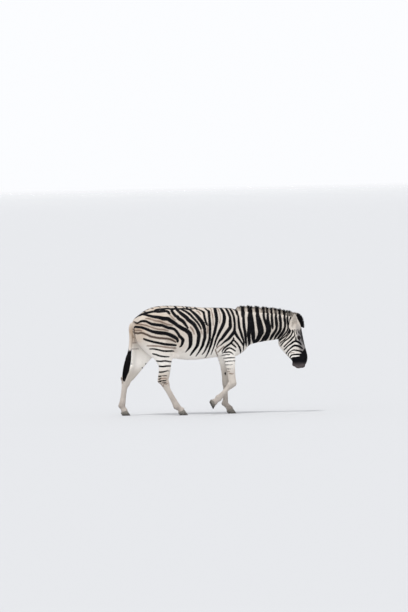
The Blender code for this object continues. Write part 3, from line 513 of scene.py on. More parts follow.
def ring_faces(rings, around):
    """The faces between rings of corners that follow one another, and one at each end."""
    faces = [list(range(around)), list(range((rings - 1) * around, rings * around))]
    for r in range(rings - 1):
        for k in range(around):
            n = (k + 1) % around
            faces.append([r * around + k, r * around + n,
                          (r + 1) * around + n, (r + 1) * around + k])
    return faces


def limb_rows(table, joints):
    """Rows of a limb: each lies square to the line of the joints at its place."""
    joints = [Vector(j) for j in joints]
    bones = [(b - a).normalized() for a, b in zip(joints, joints[1:])]
    rows = []
    for joint, part, fore, rear, half in table:
        place = joints[joint] + (joints[joint + 1] - joints[joint]) * part
        along = bones[joint].copy()
        if part < 0.15 and joint > 0:
            along = (bones[joint - 1] + bones[joint]).normalized()
        if part > 0.85 and joint < len(bones) - 1:
            along = (bones[joint] * 2 + bones[joint + 1]).normalized()
        ahead = Vector((-along.z, 0, along.x)).normalized()
        front = place + ahead * fore
        back = place - ahead * rear
        rows.append((front.x, front.z, back.x, back.z, half, place.y, 2.1, 0.05))
    return rows


def ball(centre, radii, lean):
    mesh = bpy.data.meshes.new("ball")
    with edited(mesh) as bm:
        bmesh.ops.create_icosphere(bm, subdivisions=4, radius=1.0)
        bm.transform(Matrix.Translation(centre) @ Matrix.Rotation(math.radians(lean), 4, "Y")
                     @ Matrix.Diagonal((*radii, 1)))
    return new_object("ball", mesh)


def join(items, name):
    """One mesh holding all the given objects, which go away."""
    mesh = bpy.data.meshes.new(name)
    with edited(mesh) as bm:
        for item in items:
            bm.from_mesh(item.data)
            bpy.data.objects.remove(item, do_unlink=True)
    return new_object(name, mesh)


def settle(item):
    """Take the object with its modifiers as its plain mesh."""
    graph = bpy.context.evaluated_depsgraph_get()
    graph.update()
    mesh = bpy.data.meshes.new_from_object(item.evaluated_get(graph))
    item.modifiers.clear()
    item.data = mesh


def merge(item, grain):
    grid = item.modifiers.new("merge", "REMESH")
    grid.mode = "VOXEL"
    grid.voxel_size = grain
    grid.adaptivity = 0.0
    settle(item)


def read(items, name, width=3, kind=np.float32):
    """One property of many items as an array with a row for each."""
    values = np.empty(len(items) * width, kind)
    items.foreach_get(name, values)
    return values.reshape(-1, width)


def points_of(mesh):
    return read(mesh.vertices, "co").astype(float)


def normals_of(mesh):
    return read(mesh.vertex_normals, "vector").astype(float)


def put_points(mesh, points):
    mesh.vertices.foreach_set("co", points.ravel())
    mesh.update()


def broad(points):
    """How far each point may be smoothed: fully on the trunk, less on fine parts."""
    body = np.clip((points[:, 2] - 0.62) / 0.12, 0, 1)
    body = body * np.clip((0.86 - points[:, 0]) / 0.10, 0, 1)
    return 0.12 + 0.88 * body[:, None]


SOFT_PLACES = (           # where the muscles pass softly into the trunk: place, radius
    ((0.230, 0.150, 1.030), 0.27), ((0.170, 0.130, 0.760), 0.15), ((-0.560, 0.180, 1.165), 0.21),
    ((-0.860, 0.150, 1.080), 0.18), ((0.245, 0.120, 1.190), 0.16),
)


def soft(points):
    """How far each point takes part in the softening round the muscles."""
    share = np.zeros(len(points))
    for place, radius in SOFT_PLACES:
        gap = np.linalg.norm(points * (1, 0, 1) + np.abs(points) * (0, 1, 0) - place, axis=1)
        share = np.maximum(share, 1 - step_up(0.6 * radius, radius, gap))
    return share[:, None]


def relax(item, rounds, share_of=None, pushes=(0.60, -0.61)):
    """Smooth the surface without letting it shrink."""
    mesh = item.data
    points = points_of(mesh)
    count = len(points)
    ends = read(mesh.edges, "vertices", 2, np.int32)
    degree = np.bincount(ends.ravel(), minlength=count)[:, None]
    share = share_of(points) if share_of else 1.0
    for turn in range(rounds):
        part = 1.0 if turn < 6 and len(pushes) > 1 else share
        for push in pushes:
            total = np.zeros_like(points)
            for axis in range(3):
                total[:, axis] = (
                    np.bincount(ends[:, 0], points[ends[:, 1], axis], count)
                    + np.bincount(ends[:, 1], points[ends[:, 0], axis], count))
            points = points + push * part * (total / degree - points)
    put_points(mesh, points)


def ear(side):
    """A leaf-shaped cup, open to its own side, with a rolled edge."""
    steps, half, thick = 14, 12, 0.0062
    outer, inner = [], []
    for r in range(steps + 1):
        t = r / steps
        width = 0.049 * math.sin(math.pi * min(1.0, 0.20 + 0.80 * t) ** 1.15) ** 0.75
        width = max(width, 0.006) * (1.0 if t < 0.97 else 0.75)
        open_turn = math.radians(165 - 55 * t)
        for k in range(half + 1):
            turn = (k / half * 2 - 1) * open_turn
            px = width * math.sin(turn) * (0.95 if t > 0.2 else 0.85)
            py = width * 0.62 * math.cos(turn)
            outer.append(Vector((px, -py, t * EAR_LENGTH)))
            shrink = max(0.25, 1 - thick / width)
            inner.append(Vector((px * shrink, -py * shrink + 0.001,
                                 t * EAR_LENGTH - (0.004 if r == steps else 0))))
    row = half + 1
    shift = len(outer)
    faces = []
    for r in range(steps):
        for k in range(half):
            a = r * row + k
            faces.append([a, a + 1, a + row + 1, a + row])
            faces.append([shift + a, shift + a + row, shift + a + row + 1, shift + a + 1])
        left = r * row
        right = r * row + half
        faces.append([left, left + row, shift + left + row, shift + left])
        faces.append([right, shift + right, shift + right + row, right + row])
    top = steps * row
    for k in range(half):
        faces.append([k, shift + k, shift + k + 1, k + 1])
        faces.append([top + k, top + k + 1, shift + top + k + 1, shift + top + k])
    made = mesh_from("ear", outer + inner, faces)
    made.data.transform(ear_frame(side))
    return made


def ear_frame(side):
    return (Matrix.Translation((0.998, side * 0.054, 1.012))
            @ Matrix.Rotation(math.radians(-side * 14), 4, "X")
            @ Matrix.Rotation(math.radians(3), 4, "Y")
            @ Matrix.Rotation(math.radians(0 if side > 0 else 180), 4, "Z"))


def crest_core():
    """A dark blade inside the mane, so that no light shows between the locks."""
    verts = []
    rows = spline(MANE, 2)
    for x, top, base, half in rows:
        high = base + (top - base) * 0.62
        verts += [(x, -half * 0.7, base - 0.03), (x, -half * 0.45, high - 0.004),
                  (x, 0.0, high), (x, half * 0.45, high - 0.004), (x, half * 0.7, base - 0.03)]
    return mesh_from("core", verts, ring_faces(len(rows), 5))


def flesh():
    """Trunk, neck, head and limbs, merged into one smooth body."""
    parts = [loft(rows) for rows in (TRUNK, NECK, HEAD, RIGHT_THIGH, LEFT_THIGH)]
    for table, joints in LIMBS.values():
        foot = table + limb((2, 120, 40, 44, 36))
        parts.append(loft(limb_rows(foot, joints)))
    for *sizes, lean in MUSCLES:
        x, y, z, *radii = mm(sizes)[0]
        parts += [ball((x, side * y, z), radii, lean) for side in (-1, 1)]
    body = join(parts, "flesh")
    merge(body, COARSE_GRAIN)
    relax(body, 40, broad)
    relax(body, 64, soft, (0.5,))
    return body


def inset(item, depth):
    """Draws the surface in, so that the coat has room over it."""
    points = points_of(item.data)
    put_points(item.data, points - normals_of(item.data) * depth)


def refine(item, spots):
    """Divide the faces round each spot: (centre, radius)."""
    with edited(item.data) as bm:
        for centre, radius in spots:
            edges = [e for e in bm.edges
                     if ((e.verts[0].co + e.verts[1].co) / 2 - Vector(centre)).length < radius]
            bmesh.ops.subdivide_edges(bm, edges=edges, cuts=1, use_grid_fill=True)
        bmesh.ops.triangulate(bm, faces=[f for f in bm.faces if len(f.verts) > 4])


def distance_to(points, path):
    """Distance of each point from a line through the places of the path."""
    best = np.full(len(points), 1e9)
    for a, b in zip(path, path[1:]):
        t = np.clip((points - a) @ (b - a) / max(((b - a) ** 2).sum(), 1e-12), 0, 1)
        best = np.minimum(best, np.linalg.norm(points - a - t[:, None] * (b - a), axis=1))
    return best


def press(points, normals, path, radius, height):
    """Raise or press in the surface along a line."""
    path = np.array(path, float)
    reach = radius * 3
    near = np.flatnonzero(((points > path.min(0) - reach)
                           & (points < path.max(0) + reach)).all(1))
    if len(near):
        gap = distance_to(points[near], path)
        points[near] += normals[near] * (height * np.exp(-(gap / radius) ** 2))[:, None]


def both_sides(path):
    for side in (-1, 1):
        yield [(x, side * y, z) for x, y, z in path]


def shape_muscles(points, normals):
    """The folds and ridges of the body and the face, and the ribs."""
    for radius, height, *path in CREASES:
        for line in both_sides(mm(*path)):
            press(points, normals, line, radius / 1000, height / 1000)
    for rib in range(7):
        x = -0.045 - 0.052 * rib
        line = ((x + 0.03, 0.20, 1.12), (x, 0.25, 1.00), (x - 0.05, 0.25, 0.86))
        for path in both_sides(line):
            press(points, normals, path, 0.015, 0.0011)


def shape_limbs(points, normals):
    """Grooves beside the tendons, bony joints and the ring above the hoof."""
    def dab(place, radius, height):
        press(points, normals, (place, place), radius, height)

    for leg, (table, joints) in LIMBS.items():
        knee, fetlock, hoof = [Vector(j) for j in joints[1:]]
        bone = (fetlock - knee).normalized()
        rear = Vector((bone.z, 0, -bone.x)).normalized()
        hind = table is HIND_LIMB
        for side in (-1, 1):
            out = Vector((0, side * 0.026, 0))
            a = knee.lerp(fetlock, 0.26) + rear * 0.014 + out
            b = knee.lerp(fetlock, 0.86) + rear * 0.016 + out
            press(points, normals, (a, b), 0.007, -0.0042)
            dab(fetlock + rear * 0.034 + out * 0.5, 0.016, 0.0035)
            wing = knee + Vector((0, side * 0.040, 0)) + rear * (-0.010 if hind else 0.0)
            press(points, normals, (wing, wing + bone * 0.012), 0.014, 0.0025)
            heel = fetlock.lerp(hoof, 0.92) + rear * 0.030
            dab(heel + Vector((0, side * 0.016, 0)), 0.013, 0.0030)
        if hind:
            up = (Vector(joints[0]) - knee).normalized()
            for side in (-1, 1):
                a = knee + up * 0.05 + rear * 0.030 + Vector((0, side * 0.030, 0))
                b = knee + up * 0.17 + rear * 0.030 + Vector((0, side * 0.034, 0))
                press(points, normals, (a, b), 0.012, -0.0060)
            dab(knee + rear * 0.066 + up * 0.012, 0.018, 0.0040)
        else:
            for level in (0.028, 0.0, -0.024):
                dab(knee + bone * level - rear * 0.040, 0.011, 0.0018)
        dab(hoof - rear * 0.040, 0.012, 0.0020)


def frame_of(outward, long_axis):
    out = np.array(Vector(outward).normalized())
    far = np.array(long_axis, float)
    far = far - out * (far @ out)
    far = far / np.linalg.norm(far)
    return far, np.cross(out, far), out


def eye_frame(side):
    return frame_of((0.26, side * 0.96, 0.06), (0.22, 0.0, -0.97))


def shape_eye(points, side):
    """Lids that lie over the eyeball and leave an almond opening."""
    centre = mirrored(EYE, side)
    far, wide, out = eye_frame(side)
    near = np.flatnonzero(np.linalg.norm(points - centre, axis=1) < 0.045)
    local = points[near] - centre
    a, b, c = local @ far, local @ wide, local @ out
    r = np.hypot(a, b)
    facing = c > -0.004
    lid = EYE_RADIUS + LID_THICKNESS
    dome = np.sqrt(np.maximum(lid ** 2 - r ** 2, 0.0))
    hold = 1 - step_up(0.017, 0.031, r)
    raised = np.where(facing, c + (np.maximum(dome, c) - c) * hold, c)
    reach = np.abs(a) / LID_LONG
    opening = LID_WIDE * np.maximum(1 - reach ** 2, 0) ** 0.7
    inside = facing & (reach < 1) & (np.abs(b) < opening)
    ball_face = np.sqrt(np.maximum(EYE_RADIUS ** 2 - r ** 2, 0.0))
    raised = np.where(inside, np.minimum(raised, ball_face - 0.0045), raised)
    edge = np.abs(np.abs(b) - opening)
    rim = facing & ~inside & (reach < 1.12)
    raised = raised + np.where(rim, 0.0011 * np.exp(-(edge / 0.0026) ** 2), 0)
    fold = np.abs(r - 0.0225) + 0.02 * (b * side < -0.004)
    raised = raised - np.where(facing, 0.0016 * np.exp(-(fold / 0.0022) ** 2), 0)
    points[near] += out * (raised - c)[:, None]


def shape_nostril(points, normals, side):
    """A comma-shaped opening with a raised rim."""
    centre = mirrored(NOSTRIL, side)
    far, wide, out = frame_of((0.50, side * 0.85, -0.05), (0.10, 0.0, 1.0))
    near = np.flatnonzero(np.linalg.norm(points - centre, axis=1) < 0.034)
    local = points[near] - centre
    a = local @ far
    b = local @ wide + 9.0 * (local @ far) ** 2 * side
    q = np.hypot(a / 0.0190, b / 0.0090)
    facing = normals[near] @ out > -0.2
    push = np.where(q < 1, -0.0145 * (1 - q ** 3), 0.0) + 0.0026 * np.exp(-((q - 1.25) / 0.28) ** 2)
    points[near] += out * np.where(facing, push, 0)[:, None]


def shape_mouth(points, normals):
    """The slit between the lips, and the swell of the lips beside it."""
    for line in both_sides(MOUTH):
        line = [points[((points - place) ** 2).sum(1).argmin()] for place in spline(line, 5)]
        line = spline(np.array(line)[::3], 4)
        press(points, normals, line, 0.0135, 0.0028)
        press(points, normals, line, 0.0040, -0.0085)


def detail(item):
    """Muscles, joints, face, lids, nostrils and mouth, pressed into the skin."""
    spots = []
    for side in (-1, 1):
        eye = (EYE[0], side * (EYE[1] + 0.018), EYE[2])
        spots += [(eye, 0.036), (eye, 0.026), (mirrored(NOSTRIL, side), 0.026),
                  ((1.045, side * 0.03, 0.575), 0.042)]
    refine(item, spots)
    points = points_of(item.data)
    normals = normals_of(item.data)
    shape_muscles(points, normals)
    shape_limbs(points, normals)
    shape_mouth(points, normals)
    for side in (-1, 1):
        shape_nostril(points, normals, side)
        shape_eye(points, side)
    put_points(item.data, points)


# ---------------------------------------------------------------- markings on the skin
DOWN, UP, AHEAD, ASTERN = (0, 0, -1), (0, 0, 1), (1, 0, 0), (-1, 0, 0)
OVERHEAD = 1.8            # height from which the back is looked down on
BEHIND, BEFORE = -1.6, 1.6


def faces_of(item):
    """A search tree of the object's faces."""
    graph = bpy.context.evaluated_depsgraph_get()
    graph.update()
    return BVHTree.FromObject(item, graph)


def laid_on(tree, x, z, side):
    """The point of the skin that is seen from one side at the given place."""
    hit = tree.ray_cast(Vector((x, side * 0.8, z)), Vector((0, -side, 0)))[0]
    if hit is None or hit.y * side < -0.01:
        depth = 0.12 if z < 0.75 and x < 0.5 else 0.03
        hit = tree.find_nearest(Vector((x, side * depth, z)))[0]
    return hit


ARM_TOP = [(0.300, 0.960, 0.020, 0.960)]


def limb_outline(rows):
    """Front and rear edges of a limb, row by row, as places in the side view."""
    edges = spline([row[:4] for row in rows], 8)[:, None]
    return edges[..., :2], edges[..., 2:]


def outlines():
    """Edges of the right and the left limbs that belong together."""
    pairs = []
    for kind, tops in (("hind", (RIGHT_THIGH[:6], LEFT_THIGH[:6])), ("fore", (ARM_TOP, ARM_TOP))):
        pair = []
        for word, top in zip(("right", "left"), tops):
            table, joints = LIMBS[kind + "_" + word]
            pair.append(limb_outline(top + limb_rows(table[4:] if kind == "hind" else table, joints)))
        pairs.append(pair)
    return pairs


def carried(places, pairs):
    """Places on the right limbs moved to the same parts of the left ones."""
    moved = places.copy()
    across = np.linspace(-0.7, 1.7, 97)[None, :, None]
    for (right, left), high in zip(pairs, LIMB_TOPS):
        grid = right[0] + (right[1] - right[0]) * across
        goal = left[0] + (left[1] - left[0]) * across
        grid_places = grid.reshape(-1, 2)
        shifts = (goal - grid).reshape(-1, 2)
        aside = np.broadcast_to(across[..., 0], grid.shape[:2]).ravel()
        for i, place in enumerate(places):
            if place[1] > high:
                continue
            gap = np.hypot(*(grid_places - place).T)
            k = gap.argmin()
            out = max(-aside[k], aside[k] - 1, 0)
            hold = 1 - step_up(0.10, 0.60, out)
            moved[i] += shifts[k] * hold * (1 - step_up(0.02, 0.06, gap[k]))
    return moved


def hits(tree, places, way):
    """Where rays from these places meet the skin."""
    found = [tree.ray_cast(Vector(place), Vector(way))[0] for place in places]
    return [place for place in found if place is not None]


def over_the_back(tree, start, heading):
    """Points from the start of a stripe up to the middle of the back."""
    return hits(tree, [(start.x + heading * part * 0.03, start.y * (1 - part), OVERHEAD)
                       for part in np.linspace(0.1, 1, 10)], DOWN)


def shade_down_the_buttock(tree, start, side):
    """Points from the start of a stripe beside the tail down the edge of the buttock: painted shade, a
    dark line where the shadow between the buttock and the tail falls.
    """
    return hits(tree, [(BEHIND, side * (0.118 + 0.040 * t), start.z - 0.20 * t)
                       for t in np.linspace(0.06, 1, 20)], AHEAD)


def round_the_chest(tree, start, side):
    """Points from the side of the chest round to its middle."""
    wide = abs(start.y)
    found = hits(tree, [(0.74, side * y, start.z - 0.22 * (wide - y))
                        for y in np.linspace(wide, 0.010, 12)[1:]], ASTERN)
    return list(takewhile(lambda place: place.x > 0.30, found))


def round_the_rump(tree, start, side):
    """Points from the side of the buttock round to the tail."""
    wide = abs(start.y)
    return hits(tree, [(BEHIND, side * y, start.z + 0.16 * (wide - y))
                       for y in np.linspace(wide, min(0.050, wide), 10)[1:]], AHEAD)


def round_the_limb(tree, start, side):
    """Points from the edge of a limb, seen from its side, round to its inner side."""
    nearest = (0.085, None, None)
    for leg, (table, joints) in LIMBS.items():
        joints = [Vector(j) for j in joints]
        for a, b in zip(joints, joints[1:]):
            part = min(max((start - a).dot(b - a) / (b - a).length_squared, 0.0), 1.0)
            gap = (start - a.lerp(b, part)).length
            if gap < nearest[0]:
                nearest = (gap, a.lerp(b, part), (b - a).normalized())
    middle, axis = nearest[1:]
    if middle is None:
        return []
    arm = start - middle
    inward = side if arm.x > 0 else -side
    return [tree.find_nearest(middle + Matrix.Rotation(math.radians(9 * k) * inward, 3, axis) @ arm)[0]
            for k in range(1, 6)]


def carried_on(tree, name, path, end, side):
    """What follows a marking past its end, where the side view stops short."""
    place = path[end]
    before = path[1 if end == 0 else -2]
    if name in ("neck 1 rear", "neck 1 fore", "arch 1 fore") and end == -1:
        return round_the_chest(tree, place, side)
    # painted shade: rump 3 goes on down the rear edge of the buttock as a dark line where the shadow
    # beside the tail falls
    if name == "rump 3" and end == 0:
        return shade_down_the_buttock(tree, place, side)
    if place.x < -0.86 and 0.98 < place.z < 1.17 and abs(place.y) > 0.06:
        return round_the_rump(tree, place, side)
    if place.z < 0.70 and place.x < 0.50:
        return round_the_limb(tree, place, side)
    if place.z > 1.20 and place.x < 0.30 and abs(place.y) < 0.12 and name[:3] in ("rib", "hoo"):
        return over_the_back(tree, place, 1.0 if place.x > before.x else -1.0)
    return []


def line_of(path):
    """Places as the rows of an array."""
    return np.array([tuple(place) for place in path])


def evened(path, width):
    """The same line with its points 3 mm apart."""
    path = line_of(path)
    run = np.r_[0, np.cumsum(np.linalg.norm(np.diff(path, axis=0), axis=1))]
    even = np.linspace(0, run[-1], max(4, int(run[-1] / 0.003)))
    return (np.stack([np.interp(even, run, path[:, axis]) for axis in range(3)], 1),
            np.interp(even, run, width))


def within(zone, x, z):
    """1 inside a zone of the side view and 0 outside it, smooth between."""
    x_from, x_to, z_from, z_to = zone
    share = np.ones(len(x))
    for value, rise, fall in ((x, x_from, x_to), (z, z_from, z_to)):
        if rise:
            share = share * step_up(*rise, value)
        if fall:
            share = share * (1 - step_up(*fall, value))
    return share


def widened(half, kind, x, z):
    """Half widths with the soft edge of the hair added, most on thin stripes."""
    margin = STRIPE_MARGIN * (1 - 0.9 * step_up(0.014, 0.034, half))
    for share, *zone in THIN_EDGES:
        margin = margin * (1 - share * within(zone, x, z))
    for more, *zone in WIDE_EDGES:
        margin = margin + more * within(zone, x, z)
    return half + margin * {"brown": 0.2, "faint": 0.0, "slate": 0.0}.get(kind, 1.0)


def stroke(tree, name, spots, half, side):
    """One stripe laid on one side of the skin: its points and half widths."""
    path = [laid_on(tree, x, z, side) for x, z in spots]
    first = carried_on(tree, name, path, 0, side)
    last = carried_on(tree, name, path, -1, side)
    fade = 0.9 if path[0].z > 1.20 else 0.5 if path[0].z > 0.72 else 0.1
    # the painted shade line down the buttock narrows almost to nothing at its foot
    if name == "rump 3":
        fade = 0.06
    width = np.r_[half[0] * np.linspace(fade, 1, len(first)), half,
                  half[-1] * np.linspace(1, fade, len(last))]
    return evened(first[::-1] + path + last, width)


def strokes_on(tree):
    """Every marking as (kind, points on the skin, half widths), on both sides."""
    pairs = outlines()
    made = []
    for kind, stripes in STRIPES.items():
        for name, rows in stripes.items():
            smooth_rows = spline(np.array(rows) / 1000, 12)
            flat = smooth_rows * (1, 1, 0)
            places, half = evened(flat, np.maximum(smooth_rows[:, 2], 0.001))
            x, z = places[:, :2].T
            half = widened(half, kind, x, z)
            far = carried(places[:, :2], pairs)
            far = far + np.c_[0.007 * np.sin(9 * far[:, 1] + 4 * far[:, 0]),
                              0.005 * np.sin(11 * far[:, 0] + 1.3)]
            made.append((kind, *stroke(tree, name, places[:, :2], half, -1)))
            made.append((kind, *stroke(tree, name, far, half, 1)))
    return made + back_strokes(tree) + rear_strokes(tree) + forehead_strokes(tree)


def back_strokes(tree):
    """The stripe along the back, its short bars and the line under the belly."""
    made = []
    ridge = line_of(hits(tree, [(x, 0, OVERHEAD) for x in np.arange(0.24, -0.95, -0.004)], DOWN))
    width = 0.012 + 0.002 * np.sin(ridge[:, 0] * 23) + 0.004 * (1 - step_up(-0.8, -0.3, ridge[:, 0]))
    made.append(("black", ridge, width))
    for k in range(BACK_BARS):
        x = -0.90 + 0.048 * k + 0.007 * math.sin(k * 2.3)
        for side in (-1, 1):
            reach = 0.068 + 0.020 * math.sin(k * 3.1 + side)
            bar = hits(tree, [(x + 0.004 * side + 0.032 * t ** 1.5, side * t * reach, OVERHEAD)
                              for t in np.linspace(0, 1, 12)], DOWN)
            made.append(("black", *evened(bar, np.linspace(0.014, 0.006, len(bar)))))
    belly = line_of(hits(tree, [(x, 0, 0.2) for x in np.arange(0.16, -0.36, -0.004)], UP))
    made.append(("black", belly, np.full(len(belly), 0.011)))
    return made


def rear_strokes(tree):
    """Faint stripes from the tail over the buttocks and a chestnut inside each foreleg."""
    made = []
    for side in (-1, 1):
        for z in (1.030, 0.965, 0.895, 0.820):
            arc = hits(tree, [(BEHIND, side * y, z + 0.05 * (0.12 - y))
                              for y in np.linspace(0.125, 0.050, 14)], AHEAD)
            made.append(("brown", *evened(arc, np.linspace(0.007, 0.003, len(arc)))))
    for leg, side in (("fore_right", -1), ("fore_left", 1)):
        elbow, knee = [Vector(j) for j in LIMBS[leg][1][:2]]
        spots = [elbow.lerp(knee, part) for part in (0.66, 0.70, 0.74)]
        inner = [tree.find_nearest(p - Vector((0, side * 0.06, 0)))[0] for p in spots]
        made.append(("black", *evened(inner, np.array((0.006, 0.011, 0.006)))))
    return made


def forehead_strokes(tree):
    """Fine lines down the front of the face, which draw together to the nose."""
    made = []
    for k in range(-FOREHEAD_LINES, FOREHEAD_LINES + 1):
        stop = 0.742 + 0.020 * abs(k) + 0.010 * (k % 2)
        start = 1.075 - 0.007 * abs(k) - 0.012 * (k % 2)
        places = []
        for z in np.arange(1.075, 0.740, -0.003):
            spread = 0.55 + 0.45 * math.sin(math.pi * min(max((z - 0.70) / 0.40, 0), 1))
            if stop < z < start:
                places.append((BEFORE, k * FOREHEAD_SPACING * spread * (1.10 if abs(k) > 2 else 1.0), z))
        path = line_of(hits(tree, places, ASTERN))
        along = np.linspace(0, 1, len(path))
        width = 0.0038 + 0.0016 * np.sin(math.pi * along)
        width = width * np.minimum(1, np.minimum(along / 0.10 + 0.2, (1 - along) / 0.12 + 0.2))
        made.append(("black", path, width))
    return made


def measure(points, strokes, kinds):
    """How deep each point lies inside these markings, below 0 how far outside."""
    best = np.full(len(points), -MARK_REACH)
    for kind, path, half in strokes:
        if kind not in kinds:
            continue
        for first in range(0, len(path), STRETCH):
            part = path[first:first + STRETCH + 1]
            wide = half[first:first + STRETCH + 1]
            reach = wide.max() + MARK_REACH
            near = np.flatnonzero(((points > part.min(0) - reach)
                                   & (points < part.max(0) + reach)).all(1))
            if len(near):
                gap = np.linalg.norm(points[near, None] - part[None], axis=2)
                best[near] = np.maximum(best[near], (wide - gap).max(1))
    return best


def soot_margin(points):
    """Depth inside the black of the muzzle, whose edge falls from the nose to the chin."""
    x = points[:, 0]
    edge = 0.664 + 0.118 * step_up(1.030, 1.128, x) + 0.006 * np.sin(x * 90)
    return np.where(x > 0.90, edge - points[:, 2], -0.1)


def blush_of(points):
    """How strongly the coat is tinged with tan, from 0 to 1."""
    blush = np.zeros(len(points))
    for x, z, radius, strength in np.array(BLUSHES) / 100:
        gap = np.hypot(points[:, 0] - x, points[:, 2] - z)
        blush = np.maximum(blush, strength * np.exp(-(gap / radius) ** 2))
    return blush


def ear_marks(points, normals, ink):
    """A dark band on the back of each ear, below its pale tip; the other markings on the ear are cleared.
    """
    for side in (-1, 1):
        back = ear_frame(side).inverted()
        turn = np.array(back.to_3x3())
        local = points @ turn.T + np.array(back.translation)
        facing = normals @ turn.T
        t = local[:, 2] / EAR_LENGTH
        near = (t < 1.1) & (np.hypot(local[:, 0], local[:, 1]) < 0.060)
        ink = ink - 0.05 * step_up(0.06, 0.26, t) * near
        here = near & (t > 0.26)
        rear = (facing[:, :2] * local[:, :2]).sum(1) > 0
        band = (0.110 - np.abs(t - 0.74)) * EAR_LENGTH
        band = band - 1.1 * np.maximum(local[:, 1] + 0.012, 0)
        ink = np.where(here, np.where(rear, band, -0.02), ink)
    return ink


def eye_rim(points, ink):
    """The dark skin of the lids, with a dark patch in front of the inner corner."""
    for side in (-1, 1):
        far, wide, out = eye_frame(side)
        local = points - mirrored(EYE, side)
        a, b, c = local @ far, local @ wide, local @ out
        near = (np.linalg.norm(local, axis=1) < 0.06) & (c > -0.01)
        rim = 1.0 - np.hypot(a / (LID_LONG + 0.0075), b / (LID_WIDE + 0.0075))
        corner = 1.0 - np.hypot((a - 0.026) / 0.014, b / 0.006)
        ink = np.where(near, np.maximum(ink, np.maximum(rim, corner) * 0.016), ink)
    return ink


def marks_at(points, normals, strokes):
    """The markings at each point: (ink, shade, rust) and (soot, blush, slate)."""
    ink = measure(points, strokes, ("black", "brown black", "dark"))
    ink = eye_rim(points, ear_marks(points, normals, ink))
    shade = measure(points, strokes, ("brown", "faint"))
    rust = measure(points, strokes, ("brown black",))
    slate = measure(points, strokes, ("dark", "slate"))
    return (np.c_[ink, shade, rust], np.c_[soot_margin(points), blush_of(points), slate])


def put_vectors(mesh, name, values, domain="POINT"):
    field = mesh.attributes.new(name, "FLOAT_VECTOR", domain)
    field.data.foreach_set("vector", np.ascontiguousarray(values, np.float32).ravel())


def put_floats(mesh, name, values):
    field = mesh.attributes.new(name, "FLOAT", "POINT")
    field.data.foreach_set("value", np.ascontiguousarray(values, np.float32))


# ---------------------------------------------------------------- the lie of the coat
def flow_at(points, normals):
    """The way the hair points, along the skin, from the anchors in LIE."""
    total = np.zeros_like(points)
    for row in LIE:
        place, way = np.array(row[:3]) / 100, np.array(row[3:]) / 10
        for side in (-1, 1):
            flip = np.array((1, side, 1))
            gap = ((points - place * flip) ** 2).sum(1) + 0.0004
            total += (way / np.linalg.norm(way) * flip) / (gap ** 2)[:, None]
    total -= normals * (total * normals).sum(1)[:, None]
    return unit(total)


def hair_length(points):
    """Length of the tufts: short on the face and feet, longest under the belly."""
    x, y, z = points.T
    length = np.full(len(points), 0.0100)
    length = np.where(z < 0.62, 0.0080, length)
    length = np.where(z < 0.30, 0.0065, length)
    face = step_up(0.82, 0.98, x)
    length = length * (1 - face) + 0.0055 * face
    length = np.where((x > 0.96) & (z < 0.74), 0.0038, length)
    length = np.where((x > 0.96) & (z > 1.06), 0.0075, length)
    under = (np.abs(y) < 0.10) & (z < 0.74) & (x < 0.35) & (x > -0.40)
    return np.where(under, 0.0140, length)


# ---------------------------------------------------------------- materials
class Board:
    """Adds nodes to a tree and joins them."""

    def __init__(self, tree):
        self.tree = tree

    def node(self, kind, values=None, **settings):
        made = self.tree.nodes.new(kind)
        for key, value in settings.items():
            setattr(made, key, value)
        for key, value in (values or {}).items():
            if isinstance(value, bpy.types.NodeSocket):
                self.tree.links.new(value, made.inputs[key])
            else:
                made.inputs[key].default_value = value
        return made

    def math(self, operation, *values):
        made = self.node("ShaderNodeMath", dict(enumerate(values)), operation=operation)
        return made.outputs[0]

    def times(self, *values):
        return self.math("MULTIPLY", *values)

    def plus(self, *values):
        return self.math("ADD", *values)

    def length(self, a, b):
        return self.math("SQRT", self.plus(self.times(a, a), self.times(b, b)))

    def ramp(self, value, low, high, start=0.0, end=1.0):
        """Smooth rise from start at low to end at high."""
        made = self.node("ShaderNodeMapRange", {"Value": value, "From Min": low, "From Max": high,
                                                "To Min": start, "To Max": end},
                         interpolation_type="SMOOTHSTEP")
        return made.outputs[0]

    def mix(self, part, first, second):
        made = self.node("ShaderNodeMix", {0: part, 6: first, 7: second}, data_type="RGBA")
        return made.outputs[2]

    def noise(self, place, scale, detail=2.0):
        made = self.node("ShaderNodeTexNoise", {"Vector": place, "Scale": scale, "Detail": detail})
        return made.outputs["Fac"]

    def stretched(self, place, scale):
        made = self.node("ShaderNodeMapping", {"Vector": place, "Scale": scale})
        return made.outputs[0]

    def vector(self, *parts):
        return self.node("ShaderNodeCombineXYZ", dict(enumerate(parts))).outputs[0]

    def parts(self, place):
        return self.node("ShaderNodeSeparateXYZ", {0: place}).outputs

    def field(self, name):
        made = self.node("ShaderNodeAttribute", attribute_name=name, attribute_type="GEOMETRY")
        return made.outputs["Vector"]

    def here(self):
        return self.node("ShaderNodeTexCoord").outputs["Object"]


def tone(name):
    """One of the panel's colours, which are as on a screen, for the shader's own scale."""
    colour = getattr(bpy.context.scene.zebra_colours, name)
    return *(((c + 0.055) / 1.055) ** 2.4 if c > 0.04045 else c / 12.92 for c in colour), 1.0


def made_once(store, name):
    """Lets a function make its material or tree once and finds it again by its name."""
    def wrap(make):
        def ask(*values):
            return getattr(bpy.data, store).get(name) or make(name, *values)
        return ask
    return wrap


def shader_group(name, inputs, outputs):
    """An empty shader group with these sockets, and its board and input sockets."""
    tree = bpy.data.node_groups.new(name, "ShaderNodeTree")
    for label, kind, value in inputs:
        socket = tree.interface.new_socket(name=label, in_out="INPUT", socket_type=kind)
        socket.default_value = value
    for label, kind in outputs:
        tree.interface.new_socket(name=label, in_out="OUTPUT", socket_type=kind)
    board = Board(tree)
    given = board.node("NodeGroupInput").outputs
    return board, given


